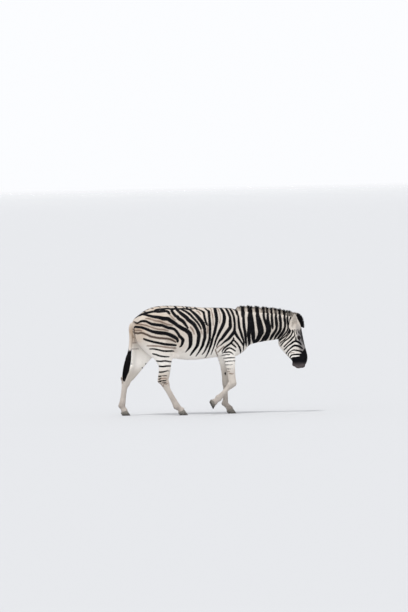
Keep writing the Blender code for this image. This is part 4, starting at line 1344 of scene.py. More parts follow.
@made_once("node_groups", "coat markings")
def coat_group(name):
    """Stripes, shadows, muzzle and tinges of the coat, read from the markings."""
    inputs = [(label, "NodeSocketColor", tone(label.lower()))
              for label in ("Ground", "Belly", "Stripe", "Shadow", "Blush", "Slate")]
    inputs.append(("Edge", "NodeSocketFloat", 0.0045))
    board, given = shader_group(name, inputs, [("Color", "NodeSocketColor"),
                                               ("Dark", "NodeSocketFloat")])
    here = board.here()
    x, y, z = board.parts(here)[:3]
    ink, shade, rust = board.parts(board.field("marks"))[:3]
    soot, blush, slate = board.parts(board.field("tints"))[:3]
    fine = board.noise(board.stretched(here, (1.0, 1.0, 0.6)), 260.0, 3.0)
    broad_noise = board.noise(here, 9.0, 3.0)
    jitter = board.times(board.math("SUBTRACT", fine, 0.5), given["Edge"])

    # the ground colour: cream, paler below, partly the coat's own paler underside and partly painted
    # light thrown up from the bright ground, tinged with tan in places
    low = board.times(board.ramp(z, 0.64, 1.02, 1.0, 0.0), board.ramp(z, 0.50, 0.66))
    colour = board.mix(low, given["Ground"], given["Belly"])
    tinge = board.times(blush, board.ramp(broad_noise, 0.30, 0.75, 0.35, 1.0))
    colour = board.mix(tinge, colour, given["Blush"])
    dusty = board.times(board.ramp(z, 0.04, 0.56, 0.62, 0.0),
                        board.ramp(broad_noise, 0.30, 0.70, 0.60, 1.0))
    colour = board.mix(dusty, colour, board.mix(0.45, given["Shadow"], given["Slate"]))
    colour = board.mix(board.ramp(fine, 0.25, 0.75, 0.0, 0.16), colour, given["Shadow"])

    # the grey front of the face
    ahead = board.math("SUBTRACT", board.plus(x, board.times(z, 0.15)), 1.168)
    part = board.times(board.ramp(ahead, 0.0, 0.040), board.ramp(z, 0.96, 1.10, 0.75, 0.0))
    colour = board.mix(part, colour, given["Slate"])

    # shadow stripes, then the dark stripes over them
    part = board.times(board.ramp(board.plus(shade, jitter), -0.008, 0.003),
                       board.ramp(broad_noise, 0.30, 0.62, 0.65, 1.0))
    colour = board.mix(part, colour, given["Shadow"])
    part = board.times(board.ramp(board.plus(slate, jitter), -0.006, 0.006), 0.80)
    colour = board.mix(part, colour, given["Slate"])
    part = board.times(board.ramp(rust, -0.004, 0.002), 0.45)
    dark = board.mix(part, given["Stripe"], given["Shadow"])
    part = board.times(board.ramp(slate, -0.004, 0.002), 0.65)
    dark = board.mix(part, dark, given["Slate"])
    worn = board.times(board.ramp(board.noise(here, 34.0, 2.0), 0.45, 0.80), 0.10)
    dark = board.mix(worn, dark, given["Slate"])
    inked = board.ramp(board.plus(ink, jitter), -0.0016, 0.0016)
    colour = board.mix(inked, colour, dark)

    # the black muzzle, with greyer lips
    sooty = board.ramp(board.plus(soot, board.times(jitter, 2.0)), -0.014, 0.010)
    lips = board.times(board.ramp(z, 0.560, 0.630, 0.75, 0.0),
                       board.ramp(broad_noise, 0.35, 0.60, 0.5, 1.0))
    lip = board.mix(0.30, given["Slate"], given["Shadow"])
    colour = board.mix(sooty, colour, board.mix(lips, given["Stripe"], lip))
    out = board.node("NodeGroupOutput")
    board.tree.links.new(colour, out.inputs["Color"])
    board.tree.links.new(board.math("MAXIMUM", inked, sooty), out.inputs["Dark"])
    return board.tree


@made_once("node_groups", "hair grain")
def grain_group(name):
    """Fine ridges of short hair that run along the body and down the legs."""
    board, given = shader_group(name, [("Fineness", "NodeSocketFloat", 1.0)],
                                [("Height", "NodeSocketFloat")])
    here = board.here()
    z = board.parts(here)[2]
    along = board.noise(board.stretched(here, (70.0, 330.0, 330.0)), given["Fineness"], 2.0)
    down = board.noise(board.stretched(here, (330.0, 330.0, 70.0)), given["Fineness"], 2.0)
    part = board.ramp(z, 0.60, 0.85)
    height = board.plus(board.times(along, part),
                        board.times(down, board.math("SUBTRACT", 1.0, part)))
    out = board.node("NodeGroupOutput")
    board.tree.links.new(height, out.inputs["Height"])
    return board.tree


def material(name, roughness, specular):
    """A new material, its board and its Principled shader."""
    made = bpy.data.materials.new(name)
    made.use_nodes = True
    shader = made.node_tree.nodes["Principled BSDF"]
    shader.inputs["Roughness"].default_value = roughness
    shader.inputs["Specular IOR Level"].default_value = specular
    return made, Board(made.node_tree), shader


def link(board, source, shader, name):
    board.tree.links.new(source, shader.inputs[name])


def bump(board, shader, height, strength, distance):
    made = board.node("ShaderNodeBump", {"Height": height, "Strength": strength, "Distance": distance})
    link(board, made.outputs[0], shader, "Normal")


def coat_material(name, with_grain):
    """The striped coat, with a grain of short hair where it covers the bare skin."""
    found = bpy.data.materials.get(name)
    if found:
        return found
    made, board, shader = material(name, 0.62, 0.05)
    marks = board.node("ShaderNodeGroup", node_tree=coat_group())
    link(board, marks.outputs["Color"], shader, "Base Color")
    link(board, board.ramp(marks.outputs["Dark"], 0.0, 1.0, 0.68, 0.50), shader, "Roughness")
    if with_grain:
        grain = board.node("ShaderNodeGroup", {"Fineness": 1.0}, node_tree=grain_group())
        bump(board, shader, grain.outputs["Height"], 0.55, 0.0012)
    return made


@made_once("materials", "long hair")
def hair_material(name):
    """Long hair: striped from the crest like the neck, black at the tips."""
    made, board, shader = material(name, 0.50, 0.08)
    ink, tip, light = board.parts(board.field("strand"))[:3]
    dark = board.mix(board.times(light, 0.5), tone("stripe"), tone("hair_light"))
    pale = board.mix(light, tone("ground"), tone("blush"))
    colour = board.mix(board.ramp(ink, -0.0016, 0.0016), pale, dark)
    colour = board.mix(tip, colour, dark)
    link(board, colour, shader, "Base Color")
    streak = board.noise(board.stretched(board.here(), (400.0, 400.0, 60.0)), 1.0, 2.0)
    bump(board, shader, streak, 0.4, 0.001)
    return made


@made_once("materials", "hoof horn")
def horn_material(name):
    """Grey horn with growth rings, upright fibres and dust."""
    made, board, shader = material(name, 0.48, 0.40)
    height, turn, under = board.parts(board.field("horn"))[:3]
    rings = board.noise(board.vector(board.times(height, 42.0), turn), 1.0, 2.0)
    fibre = board.noise(board.vector(board.times(height, 2.0), board.times(turn, 26.0)), 1.0, 3.0)
    pale = board.mix(board.ramp(fibre, 0.35, 0.70), tone("horn"), tone("horn_light"))
    colour = board.mix(board.ramp(height, 0.05, 0.95), tone("horn_dark"), pale)
    dust = board.times(board.ramp(board.noise(board.here(), 60.0, 4.0), 0.42, 0.72), 0.45)
    colour = board.mix(dust, colour, tone("dust"))
    colour = board.mix(board.times(under, 0.6), colour, tone("dust"))
    link(board, colour, shader, "Base Color")
    link(board, board.ramp(dust, 0.0, 0.45, 0.42, 0.75), shader, "Roughness")
    bump(board, shader, board.plus(rings, board.times(fibre, 0.6)), 0.5, 0.0012)
    return made


@made_once("materials", "wet eye")
def eye_material(name):
    """A dark brown iris with a level oblong pupil under a wet surface."""
    made, board, shader = material(name, 0.06, 0.18)
    a, b = board.parts(board.field("gaze"))[:2]
    reach = board.length(a, b)
    fleck = board.noise(board.field("gaze"), 14.0, 3.0)
    brown = board.mix(fleck, tone("iris"), tone("pupil"))
    oval = board.length(board.times(b, 2.0), board.times(a, 3.6))
    colour = board.mix(board.ramp(oval, 0.86, 1.02), tone("pupil"), brown)
    colour = board.mix(board.ramp(reach, 0.66, 0.74), colour, tone("pupil"))
    colour = board.mix(board.ramp(reach, 0.80, 0.90), colour, tone("eye_white"))
    link(board, colour, shader, "Base Color")
    return made


def floor_material():
    """A plain floor that fades out towards the horizon."""
    made, board, shader = material("studio floor", 0.90, 0.1)
    shader.inputs["Base Color"].default_value = tone("floor")
    x, y = board.parts(board.here())[:2]
    link(board, board.ramp(board.length(x, y), 250.0, 1800.0, 1.0, 0.0), shader, "Alpha")
    return made


# ---------------------------------------------------------------- node trees for hair
def geometry_tree(name, inputs):
    """A geometry node tree with these named inputs, its board and input sockets."""
    tree = bpy.data.node_groups.new(name, "GeometryNodeTree")
    tree.interface.new_socket(name="Geometry", in_out="INPUT", socket_type="NodeSocketGeometry")
    for label, kind, value in inputs:
        socket = tree.interface.new_socket(name=label, in_out="INPUT", socket_type=kind)
        if value is not None:
            socket.default_value = value
    tree.interface.new_socket(name="Geometry", in_out="OUTPUT", socket_type="NodeSocketGeometry")
    board = Board(tree)
    return board, board.node("NodeGroupInput").outputs


def close_tree(board, geometry, look):
    """Ends the tree: instances made real, material set."""
    real = board.node("GeometryNodeRealizeInstances", {"Geometry": geometry})
    dressed = board.node("GeometryNodeSetMaterial", {"Geometry": real.outputs[0], "Material": look})
    out = board.node("NodeGroupOutput")
    board.tree.links.new(dressed.outputs[0], out.inputs["Geometry"])
    return board.tree


def named(board, name, kind):
    made = board.node("GeometryNodeInputNamedAttribute", data_type=kind)
    made.inputs["Name"].default_value = name
    return made.outputs["Attribute"]


@made_once("node_groups", "locks of hair")
def locks_tree(name):
    """Sweeps a tapering lock along each line of a mesh."""
    board, given = geometry_tree(name, (
        ("Sides", "NodeSocketInt", 3), ("Thickness", "NodeSocketFloat", 1.0),
        ("Material", "NodeSocketMaterial", None)))
    lines = board.node("GeometryNodeMeshToCurve", {"Mesh": given["Geometry"]})
    width = board.times(named(board, "width", "FLOAT"), given["Thickness"])
    ring = board.node("GeometryNodeCurvePrimitiveCircle",
                      {"Resolution": given["Sides"], "Radius": 1.0}, mode="RADIUS")
    solid = board.node("GeometryNodeCurveToMesh", {
        "Curve": lines.outputs[0], "Profile Curve": ring.outputs[0], "Scale": width,
        "Fill Caps": True})
    soft = board.node("GeometryNodeSetShadeSmooth", {0: solid.outputs[0]})
    return close_tree(board, soft.outputs[0], given["Material"])


@made_once("node_groups", "coat of tufts")
def coat_tree(name):
    """Scatters tufts over one region of the skin, along the lie of the coat."""
    board, given = geometry_tree(name, (
        ("Tuft", "NodeSocketObject", None), ("Region", "NodeSocketInt", 0),
        ("Spacing", "NodeSocketFloat", 0.005), ("Density", "NodeSocketFloat", 30000.0),
        ("Length", "NodeSocketFloat", 1.0), ("Lift", "NodeSocketFloat", 0.10),
        ("Patch", "NodeSocketFloat", 0.003), ("Seed", "NodeSocketInt", 7),
        ("Material", "NodeSocketMaterial", None)))
    apart = board.math("SUBTRACT", named(board, "region", "FLOAT"), given["Region"])
    here = board.node("FunctionNodeCompare", {"A": board.math("ABSOLUTE", apart), "B": 0.5},
                      data_type="FLOAT", operation="LESS_THAN").outputs[0]
    spots = board.node("GeometryNodeDistributePointsOnFaces", {
        "Mesh": given["Geometry"], "Selection": here, "Distance Min": given["Spacing"],
        "Density Max": given["Density"], "Density Factor": named(board, "closeness", "FLOAT"),
        "Seed": given["Seed"]}, distribute_method="POISSON")
    upright = board.node("FunctionNodeAlignRotationToVector",
                         {"Vector": spots.outputs["Normal"]}, axis="Z")
    along = board.node("FunctionNodeAlignRotationToVector", {
        "Rotation": upright.outputs[0], "Vector": named(board, "flow", "FLOAT_VECTOR")},
        axis="X", pivot_axis="Z")
    turn = board.node("FunctionNodeRandomValue", {0: (-0.12, -0.04, -0.18), 1: (0.12, 0.04, 0.18),
                                                  "Seed": given["Seed"]}, data_type="FLOAT_VECTOR")
    lift = board.vector(0.0, board.times(given["Lift"], -1.0))
    swing = board.node("ShaderNodeVectorMath", {0: turn.outputs[0], 1: lift}, operation="ADD")
    euler = board.node("FunctionNodeEulerToRotation", {0: swing.outputs[0]})
    lie = board.node("FunctionNodeRotateRotation", {"Rotation": along.outputs[0],
                                                    "Rotate By": euler.outputs[0]},
                     rotation_space="LOCAL")
    vary = board.node("FunctionNodeRandomValue", {2: 0.75, 3: 1.25, "Seed": given["Seed"]},
                      data_type="FLOAT")
    size = board.times(board.times(named(board, "hair", "FLOAT"), vary.outputs[1]), given["Length"])
    tuft = board.node("GeometryNodeObjectInfo", {"Object": given["Tuft"]})
    placed = board.node("GeometryNodeInstanceOnPoints", {
        "Points": spots.outputs["Points"], "Instance": tuft.outputs["Geometry"],
        "Rotation": lie.outputs[0],
        "Scale": board.vector(size, board.plus(board.times(size, 0.5), 0.005), size)})
    real = board.node("GeometryNodeRealizeInstances", {"Geometry": placed.outputs[0]})
    spread = board.node("ShaderNodeVectorMath", {0: named(board, "patch", "FLOAT_VECTOR"),
                                                 "Scale": given["Patch"]}, operation="SCALE")
    place = board.node("ShaderNodeVectorMath", {0: named(board, "root", "FLOAT_VECTOR"),
                                                1: spread.outputs[0]}, operation="ADD")
    mapped = board.node("GeometryNodeStoreNamedAttribute", {
        "Geometry": real.outputs[0], "Name": "OFBake", "Value": place.outputs[0]},
        data_type="FLOAT2", domain="CORNER")
    clean = mapped.outputs[0]
    for field in ("patch", "root", "flow", "hair", "region", "closeness"):
        clean = board.node("GeometryNodeRemoveAttribute", {"Geometry": clean, "Name": field}).outputs[0]
    return close_tree(board, clean, given["Material"])


def grow(item, tree, values):
    """Makes the object the mesh that the tree makes of it, its inputs set by identifier."""
    step = item.modifiers.new("nodes", "NODES")
    step.node_group = tree
    for socket in tree.interface.items_tree:
        if socket.in_out == "INPUT" and socket.name in values:
            step[socket.identifier] = values[socket.name]
    settle(item)


# ---------------------------------------------------------------- pieces
def finish_piece(item, name, look, nodes=(), shift=SHIFT):
    """Moves the piece into the model's frame and puts it in its place in the model."""
    item.data.materials.clear()
    item.data.materials.append(look)
    item.data.transform(Matrix.Translation((shift, 0, 0)))
    item.name = name
    item.data.name = name
    item.data.shade_smooth()
    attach(item, "root")
    if nodes:
        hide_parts(*nodes)


# Wanted lengths of the skin's edges.
PLAIN_EDGE = 0.0115
MARKED_EDGE = 0.0056
LEG_EDGE = 0.0085
FACE_EDGE = 0.0050
FOREHEAD_EDGE = 0.0036
FINE_PLACES = (           # place, radius and length of the edges there
    ((1.056, 0.098, 0.918), 0.034, 0.0015),     # eye
    (NOSTRIL, 0.026, 0.0019),
    ((1.045, 0.034, 0.575), 0.036, 0.0024),     # corner of the mouth
)


def fineness(points, ink, shade):
    """Wanted length of the mesh's edges at each point of the skin."""
    x, y, z = points.T
    wanted = np.full(len(points), PLAIN_EDGE)
    margin = np.minimum(np.abs(ink), np.abs(shade) + 0.002)
    near = 1 - step_up(0.002, 0.010, margin)
    wanted = wanted * (1 - near) + MARKED_EDGE * near
    legs = (z < 0.55) & (x < 0.8)
    wanted = np.where(legs, np.minimum(wanted, LEG_EDGE), wanted)
    face = step_up(0.83, 0.92, x)
    wanted = wanted * (1 - face) + np.minimum(wanted, FACE_EDGE) * face
    lined = (x > 1.0) & (np.abs(y) < 0.078) & (z > 0.73) & (z < 1.10)
    wanted = np.where(lined, FOREHEAD_EDGE, wanted)
    for side in (-1, 1):
        for place, radius, size in FINE_PLACES:
            gap = np.linalg.norm(points - mirrored(place, side), axis=1)
            part = 1 - step_up(radius * 0.7, radius * 1.6, gap)
            wanted = wanted * (1 - part) + np.minimum(wanted, size) * part
    return wanted


def thin_skin(item, wanted, triangles):
    """Thins the skin down to a number of triangles, least where detail is wanted."""
    weight = 1 - wanted.min() / wanted
    group = item.vertex_groups.new(name="plain")
    steps = np.round(weight * THINNING_LEVELS).astype(int)
    for level in np.unique(steps):
        group.add(np.flatnonzero(steps == level).tolist(), float(level / THINNING_LEVELS), "REPLACE")
    now = sum(len(p.vertices) - 2 for p in item.data.polygons)
    fewer = item.modifiers.new("fewer", "DECIMATE")
    fewer.vertex_group = "plain"
    fewer.vertex_group_factor = 1000.0
    fewer.ratio = min(1.0, triangles / now)
    settle(item)
    item.vertex_groups.clear()


def unwrap(item):
    """An unwrap of the piece's own shape."""
    item.data.uv_layers.new(name="OFBake")
    bpy.context.view_layer.objects.active = item
    item.select_set(True)
    bpy.ops.object.mode_set(mode="EDIT")
    bpy.ops.mesh.select_all(action="SELECT")
    bpy.ops.uv.smart_project(angle_limit=1.15, island_margin=0.004, scale_to_bounds=True)
    bpy.ops.object.mode_set(mode="OBJECT")
    item.select_set(False)


def make_skin(sizes):
    """The whole skin in one piece, with its markings stored on its points."""
    body = flesh()
    inset(body, sizes.coat_depth)
    skin = join([body, ear(-1), ear(1), loft(DOCK, 3, 20), crest_core()], "skin")
    merge(skin, sizes.skin_grain)
    relax(skin, 6)
    detail(skin)
    strokes = strokes_on(faces_of(skin))
    points = points_of(skin.data)
    ink = measure(points, strokes, ("black", "brown black", "dark"))
    shade = measure(points, strokes, ("brown", "faint"))
    thin_skin(skin, fineness(points, ink, shade), SKIN_TRIANGLES)
    with edited(skin.data) as bm:
        bmesh.ops.triangulate(bm, faces=bm.faces)
    points = points_of(skin.data)
    normals = normals_of(skin.data)
    marks, tints = marks_at(points, normals, strokes)
    put_vectors(skin.data, "marks", marks)
    put_vectors(skin.data, "tints", tints)
    unwrap(skin)
    return skin


SKIN_NODES = ("trunk", "neck", "head", "ear_right", "ear_left", "tail",
              "hind_right_upper", "hind_left_upper", "fore_right_upper", "fore_left_upper",
              "hind_right_lower", "hind_left_lower", "fore_right_lower", "fore_left_lower")


def make_eye(side):
    """An eyeball with a bulging cornea that looks out and slightly ahead."""
    mesh = bpy.data.meshes.new("eye")
    with edited(mesh) as bm:
        bmesh.ops.create_uvsphere(bm, u_segments=48, v_segments=32, radius=1.0)
    local = points_of(mesh)
    cornea = 1 + 0.045 * np.clip((local[:, 2] - 0.72) / 0.28, 0, 1) ** 0.7
    shape = local * (EYE_RADIUS * cornea)[:, None]
    put_points(mesh, mirrored(EYE, side) + shape @ np.array(eye_frame(side)))
    put_vectors(mesh, "gaze", local)
    return new_object("eye", turned_out(mesh))


HOOF_LENGTH = 0.112
HOOF_WIDTH = 0.088
HOOF_MIDDLE_HEIGHT = 0.050
HOOF_SLOPE = 0.016        # how much higher the toe is than the middle, and the heel lower
HOOF_LEAN = 0.042         # how far the toe wall leans back up to the coronet
HOOF_AROUND = 56


def hoof_ring(scale, level, rise):
    """One ring of the wall at a level from the ground (0) to the coronet (1)."""
    ring = []
    for k in range(HOOF_AROUND):
        turn = 2 * math.pi * k / HOOF_AROUND
        ahead = math.cos(turn)
        blunt = 1.0 - 0.10 * max(0.0, -ahead)
        notch = 1.0 - 0.10 * math.exp(-((turn - math.pi) / 0.22) ** 2)
        height = HOOF_MIDDLE_HEIGHT + HOOF_SLOPE * ahead
        x = HOOF_LENGTH / 2 * ahead * blunt * notch * (1 - 0.22 * level) * scale
        y = HOOF_WIDTH / 2 * math.sin(turn) * (1.0 - 0.16 * level) * scale
        ring.append((x - HOOF_LEAN * 0.72 * level, y, height * level + rise,
                     level, abs(math.pi - turn), 0.0))
    return ring


def sole_ring(scale, rise):
    """One ring of the sole, with the wedge of the frog and the grooves beside it."""
    ring = []
    for x, y, z, level, turn, under in hoof_ring(scale, 0.0, rise):
        if scale < 0.8:
            wedge = 0.017 * min(1.0, max(0.0, (0.012 - x) / 0.045))
            groove = math.exp(-((abs(y) - wedge - 0.003) / 0.003) ** 2) if x < 0.010 else 0.0
            z += 0.0035 * groove - 0.004 * (abs(y) < wedge)
        ring.append((x, y, z, level, turn, 1.0))
    return ring


def make_hoof(x, y, z, pitch):
    """A hoof with growth rings, a worn edge, and a hollow sole with its frog."""
    rings = [sole_ring(scale, rise) for scale, rise in (
        (0.10, 0.0065), (0.30, 0.0062), (0.50, 0.0055), (0.66, 0.0045), (0.78, 0.0030),
        (0.84, 0.0012), (0.855, 0.0030), (0.87, 0.0010), (0.90, 0.0000), (0.96, 0.0000))]
    for level in np.arange(31) / 30:
        ringed = 0.0030 * math.sin(level * 46 + 0.9 * math.sin(level * 9))
        worn = -0.020 * math.exp(-(level / 0.03) ** 2)
        band = -0.045 * max(0.0, (level - 0.86) / 0.14) ** 2
        rings.append(hoof_ring(1.0 + ringed + worn + band, level, 0.0))
    for scale, rise in ((0.90, 0.002), (0.55, 0.004), (0.15, 0.004)):
        rings.append(hoof_ring(scale, 1.0, rise))
    corners = np.array(rings).reshape(-1, 6)
    item = mesh_from("hoof", corners[:, :3], ring_faces(len(rings), HOOF_AROUND))
    put_vectors(item.data, "horn", corners[:, 3:])
    item.data.transform(Matrix.Translation((x, y, z))
                        @ Matrix.Rotation(math.radians(pitch), 4, "Y"))
    return item


class Locks:
    """Collects the lines along which locks of hair are swept, with their looks."""

    def __init__(self, taper):
        self.taper = np.array(taper)
        self.lines, self.widths, self.strands = [], [], []

    def add(self, line, width, ink, tip, light):
        """A lock's line, its width, its marking and how dark its tip and light its hair are."""
        self.lines.append(line)
        self.widths.append(self.taper * width)
        looks = [np.broadcast_to(look, self.taper.shape) for look in (ink, tip, light)]
        self.strands.append(np.stack(looks, 1))

    def grown(self):
        lines = np.array(self.lines)
        index = np.arange(lines[..., 0].size).reshape(lines.shape[:2])
        edges = np.stack([index[:, :-1].ravel(), index[:, 1:].ravel()], 1)
        mesh = bpy.data.meshes.new("locks")
        mesh.from_pydata(lines.reshape(-1, 3).tolist(), edges.tolist(), [])
        put_floats(mesh, "width", np.ravel(self.widths))
        put_vectors(mesh, "strand", self.strands)
        item = new_object("locks", mesh)
        grow(item, locks_tree(), {"Material": hair_material()})
        turned_out(item.data)
        return item


def bent(root, middle, tip, steps=6):
    """A smooth line from root to tip, drawn towards the middle point."""
    t = np.linspace(0, 1, steps)[:, None]
    return (1 - t) ** 2 * root + 2 * t * (1 - t) * middle + t * t * tip


def ink_reader(skin):
    """A function that gives the skin's own marking at the nearest point."""
    tree = faces_of(skin)
    marks = read(skin.data.attributes["marks"].data, "vector")
    corners = [tuple(p.vertices) for p in skin.data.polygons]

    def ink_at(place):
        index = tree.find_nearest(Vector(place) + Vector((SHIFT, 0, 0)))[2]
        return float(marks[list(corners[index]), 0].mean())
    return ink_at


def make_mane(skin, sizes):
    """Upright locks along the crest, striped like the neck, with dark tips."""
    rng = np.random.default_rng(11)
    ink_at = ink_reader(skin)
    rows = np.array(MANE)
    locks = Locks((1.0, 0.95, 0.82, 0.62, 0.40, 0.10))
    for k in range(sizes.mane_locks):
        x = rng.uniform(rows[0, 0] + 0.004, rows[-1, 0] - 0.004)
        top, base, half = [np.interp(x, rows[:, 0], rows[:, c]) for c in (1, 2, 3)]
        across = rng.uniform(-1, 1)
        edge = abs(across)
        rise = min(1.0, (x - rows[0, 0]) / 0.05 + 0.35)
        wave = 0.004 * math.sin(x * 61) + 0.003 * math.sin(x * 143 + 1)
        ink = ink_at((x, math.copysign(max(abs(across) * half, 0.012), across), base - 0.020))
        wave += 0.004 if ink > 0 else -0.005
        height = (top - base) * (1.0 - 0.16 * edge ** 2) * rise + wave - rng.uniform(0, 0.012)
        root = np.array((x, across * half * 0.80, base - 0.012 - 0.006 * edge))
        lean = rng.normal(-0.006, 0.005)
        tip = root + np.array((lean, -across * half * 0.25 + rng.normal(0, 0.003), height + 0.012))
        middle = (root + tip) / 2 + np.array((rng.normal(0, 0.003), across * 0.004, 0))
        forward = step_up(0.80, 0.96, x)
        dark = step_up(0.80 - 0.50 * forward, 1.0 - 0.40 * forward, np.linspace(0, 1, 6))
        locks.add(bent(root, middle, tip), rng.uniform(0.0022, 0.0038), ink + rng.normal(0, 0.0015),
                  dark * rng.uniform(0.35, 0.80), rng.uniform(0, 0.35))
    return locks.grown()


# The forelock: x and z of the tips, x and z of the roots, half width.
FORELOCK = mm(
    (1050, 1226, 1016, 1160, 20), (1076, 1212, 1030, 1145, 22), (1103, 1184, 1046, 1122, 25),
    (1120, 1140, 1060, 1098, 27), (1127, 1090, 1070, 1070, 26), (1124, 1042, 1078, 1050, 20),
)


def make_forelock(sizes):
    """Black locks that carry the mane on over the poll and down the forehead."""
    rng = np.random.default_rng(23)
    rows = spline(FORELOCK, 6)
    locks = Locks((0.9, 1.0, 1.0, 0.85, 0.60, 0.12))
    for k in range(sizes.forelock_locks):
        place = rng.uniform(0, len(rows) - 1.001)
        row = rows[int(place)] + (rows[int(place) + 1] - rows[int(place)]) * (place % 1)
        across = rng.uniform(-1, 1)
        front = np.array((row[0], across * row[4], row[1]))
        root = np.array((row[2], across * row[4] * 0.6, row[3]))
        root = root - (front - root) * 0.15
        tip = root + (front - root) * (1.0 - 0.22 * across ** 2 - rng.uniform(0, 0.14))
        droop = 0.010 * place / len(rows)
        tip = tip + np.array((rng.normal(0, 0.003), rng.normal(0, 0.003), -droop))
        middle = (root + tip) / 2 + np.array((rng.normal(0, 0.003), across * 0.004, 0.012))
        locks.add(bent(root, middle, tip), rng.uniform(0.0022, 0.0038), 0.02, 1.0, rng.uniform(0, 0.25))
    return locks.grown()


# The long hair of the tail: z, middle x, half width fore and aft, half width across.
SWITCH = mm(
    (860, -1020, 22, 22), (790, -1030, 25, 23), (740, -1041, 32, 28), (650, -1060, 38, 30),
    (550, -1083, 38, 26), (480, -1102, 27, 17), (425, -1110, 12, 8),
)


def make_tail(sizes):
    """Long black locks from the lower dock, gathered to a point."""
    rng = np.random.default_rng(31)
    rows = np.array(SWITCH)[::-1]
    locks = Locks((0.7, 1.0, 1.0, 0.92, 0.82, 0.70, 0.54, 0.34, 0.07))
    for k in range(sizes.tail_locks):
        start = rng.uniform(0.700, 0.875)
        end = max(0.424, rng.choice((0.44, 0.47, 0.50, 0.54, 0.58, 0.63)) + rng.normal(0, 0.03))
        turn = rng.uniform(0, 2 * math.pi)
        out = rng.uniform(0.55, 1.0)
        wave = rng.uniform(0, 6)
        line = []
        for t in np.linspace(0, 1, 9):
            z = start + (end - start) * t
            middle, fore, across = [np.interp(z, rows[:, 0], rows[:, c]) for c in (1, 2, 3)]
            reach = out * min(1.0, 0.62 + 0.6 * t)
            line.append((middle + fore * reach * math.cos(turn) + 0.003 * math.sin(wave + t * 5),
                         across * reach * math.sin(turn) + 0.003 * math.cos(wave + t * 4), z))
        locks.add(line, rng.uniform(0.0022, 0.0036), 0.02, 1.0, rng.uniform(0, 0.4))
    return locks.grown()


LASH_WIDTH = 0.00045


def make_lashes():
    """A row of lashes on each upper lid."""
    rng = np.random.default_rng(41)
    locks = Locks((1.0, 0.8, 0.5, 0.12))
    for side in (-1, 1):
        far, wide, out = eye_frame(side)
        brow = 1 if wide[0] > 0 else -1
        for t in np.linspace(-0.85, 0.70, 30):
            a = t * LID_LONG
            b = brow * (LID_WIDE * (1 - t * t) ** 0.7 + 0.0006)
            rise = math.sqrt(max((EYE_RADIUS + LID_THICKNESS) ** 2 - a * a - b * b, 0)) - 0.001
            root = mirrored(EYE, side) + far * a + wide * b + out * rise
            tip = root + out * rng.uniform(0.008, 0.012) + wide * brow * rng.normal(-0.002, 0.001)
            tip = tip + far * (t * 0.004 + rng.normal(0, 0.001))
            middle = (root + tip) / 2 - wide * brow * 0.0020
            locks.add(bent(root, middle, tip, 4), LASH_WIDTH, 0.02, 1.0, 0.1)
    return locks.grown()


def tuft_shape():
    """One closed tuft, one long, that lies along X and narrows to its tip."""
    verts = ((0.0, 0.0, -0.07), (0.40, 0.090, -0.012), (0.40, -0.090, -0.012),
             (0.42, 0.0, 0.042), (1.0, 0.0, 0.0))
    faces = ((0, 3, 1), (0, 2, 3), (1, 3, 4), (3, 2, 4), (0, 1, 2), (1, 4, 2))
    item = mesh_from("tuft", verts, faces)
    across = (0.0, 0.5, -0.5, 0.0, 0.0)
    places = [(verts[c.vertex_index][0] - 0.5, across[c.vertex_index], 0.0) for c in item.data.loops]
    put_vectors(item.data, "patch", places, "CORNER")
    return item


REGIONS = (               # name, most tufts on a square metre, least spacing
    ("coat_head", 230000.0, 0.0024), ("coat_neck", 190000.0, 0.0024),
    ("coat_shoulder", 140000.0, 0.0030), ("coat_barrel", 140000.0, 0.0031),
    ("coat_flank", 140000.0, 0.0030), ("coat_rump", 120000.0, 0.0034),
    ("coat_legs", 150000.0, 0.0030),
)


def region_of(points):
    """Which piece of the coat covers each point."""
    x, y, z = points.T
    region = np.digitize(-x, (-0.86, -0.42, -0.06, 0.30, 0.62)).astype(float)
    return np.where((z < 0.62) & (x < 0.86), 6.0, region)


def closeness_of(points):
    """No tufts on the lips, nostrils and lids, or inside the mane."""
    x, y, z = points.T
    bare = (x > 1.0) & (z < 0.572)
    for side in (-1, 1):
        lids = mirrored(EYE, side) + eye_frame(side)[2] * 0.012
        bare |= np.linalg.norm(points - lids, axis=1) < 0.022
        bare |= np.linalg.norm(points - mirrored(NOSTRIL, side), axis=1) < 0.021
    rows = np.array(MANE)
    base = np.interp(x, rows[:, 0], rows[:, 2])
    bare |= (x > 0.26) & (x < 0.95) & (np.abs(y) < 0.030) & (z > base - 0.008)
    return np.where(bare, 0.0, 1.0)


def make_coat(skin, index, sizes):
    """Tufts over one region, as one mesh whose tufts are all closed."""
    name, density, spacing = REGIONS[index]
    item = new_object(name, skin.data.copy())
    points = points_of(item.data)
    points[:, 0] -= SHIFT
    normals = normals_of(item.data)
    put_vectors(item.data, "flow", flow_at(points, normals))
    put_floats(item.data, "hair", hair_length(points))
    put_floats(item.data, "region", region_of(points))
    put_floats(item.data, "closeness", closeness_of(points))
    flat = read(item.data.uv_layers["OFBake"].uv, "vector", 2)
    put_vectors(item.data, "root", np.insert(flat, 2, 0, axis=1), "CORNER")
    item.data.uv_layers.remove(item.data.uv_layers["OFBake"])
    tuft = tuft_shape()
    grow(item, coat_tree(), {
        "Tuft": tuft, "Region": index, "Spacing": spacing / sizes.coat_closeness,
        "Density": density * sizes.coat_closeness, "Length": sizes.hair_length,
        "Lift": sizes.hair_lift, "Seed": 7 + index,
        "Material": coat_material("coat", False)})
    bpy.data.objects.remove(tuft, do_unlink=True)
    return item


# ---------------------------------------------------------------- what a user may change
def colour(label, text, value):
    return FloatVectorProperty(name=label, description=text, default=value, size=3,
                               min=0.0, max=1.0, subtype="COLOR_GAMMA")


def length(label, text, value, low, high):
    return FloatProperty(name=label, description=text, default=value, min=low, max=high,
                         unit="LENGTH", precision=4)


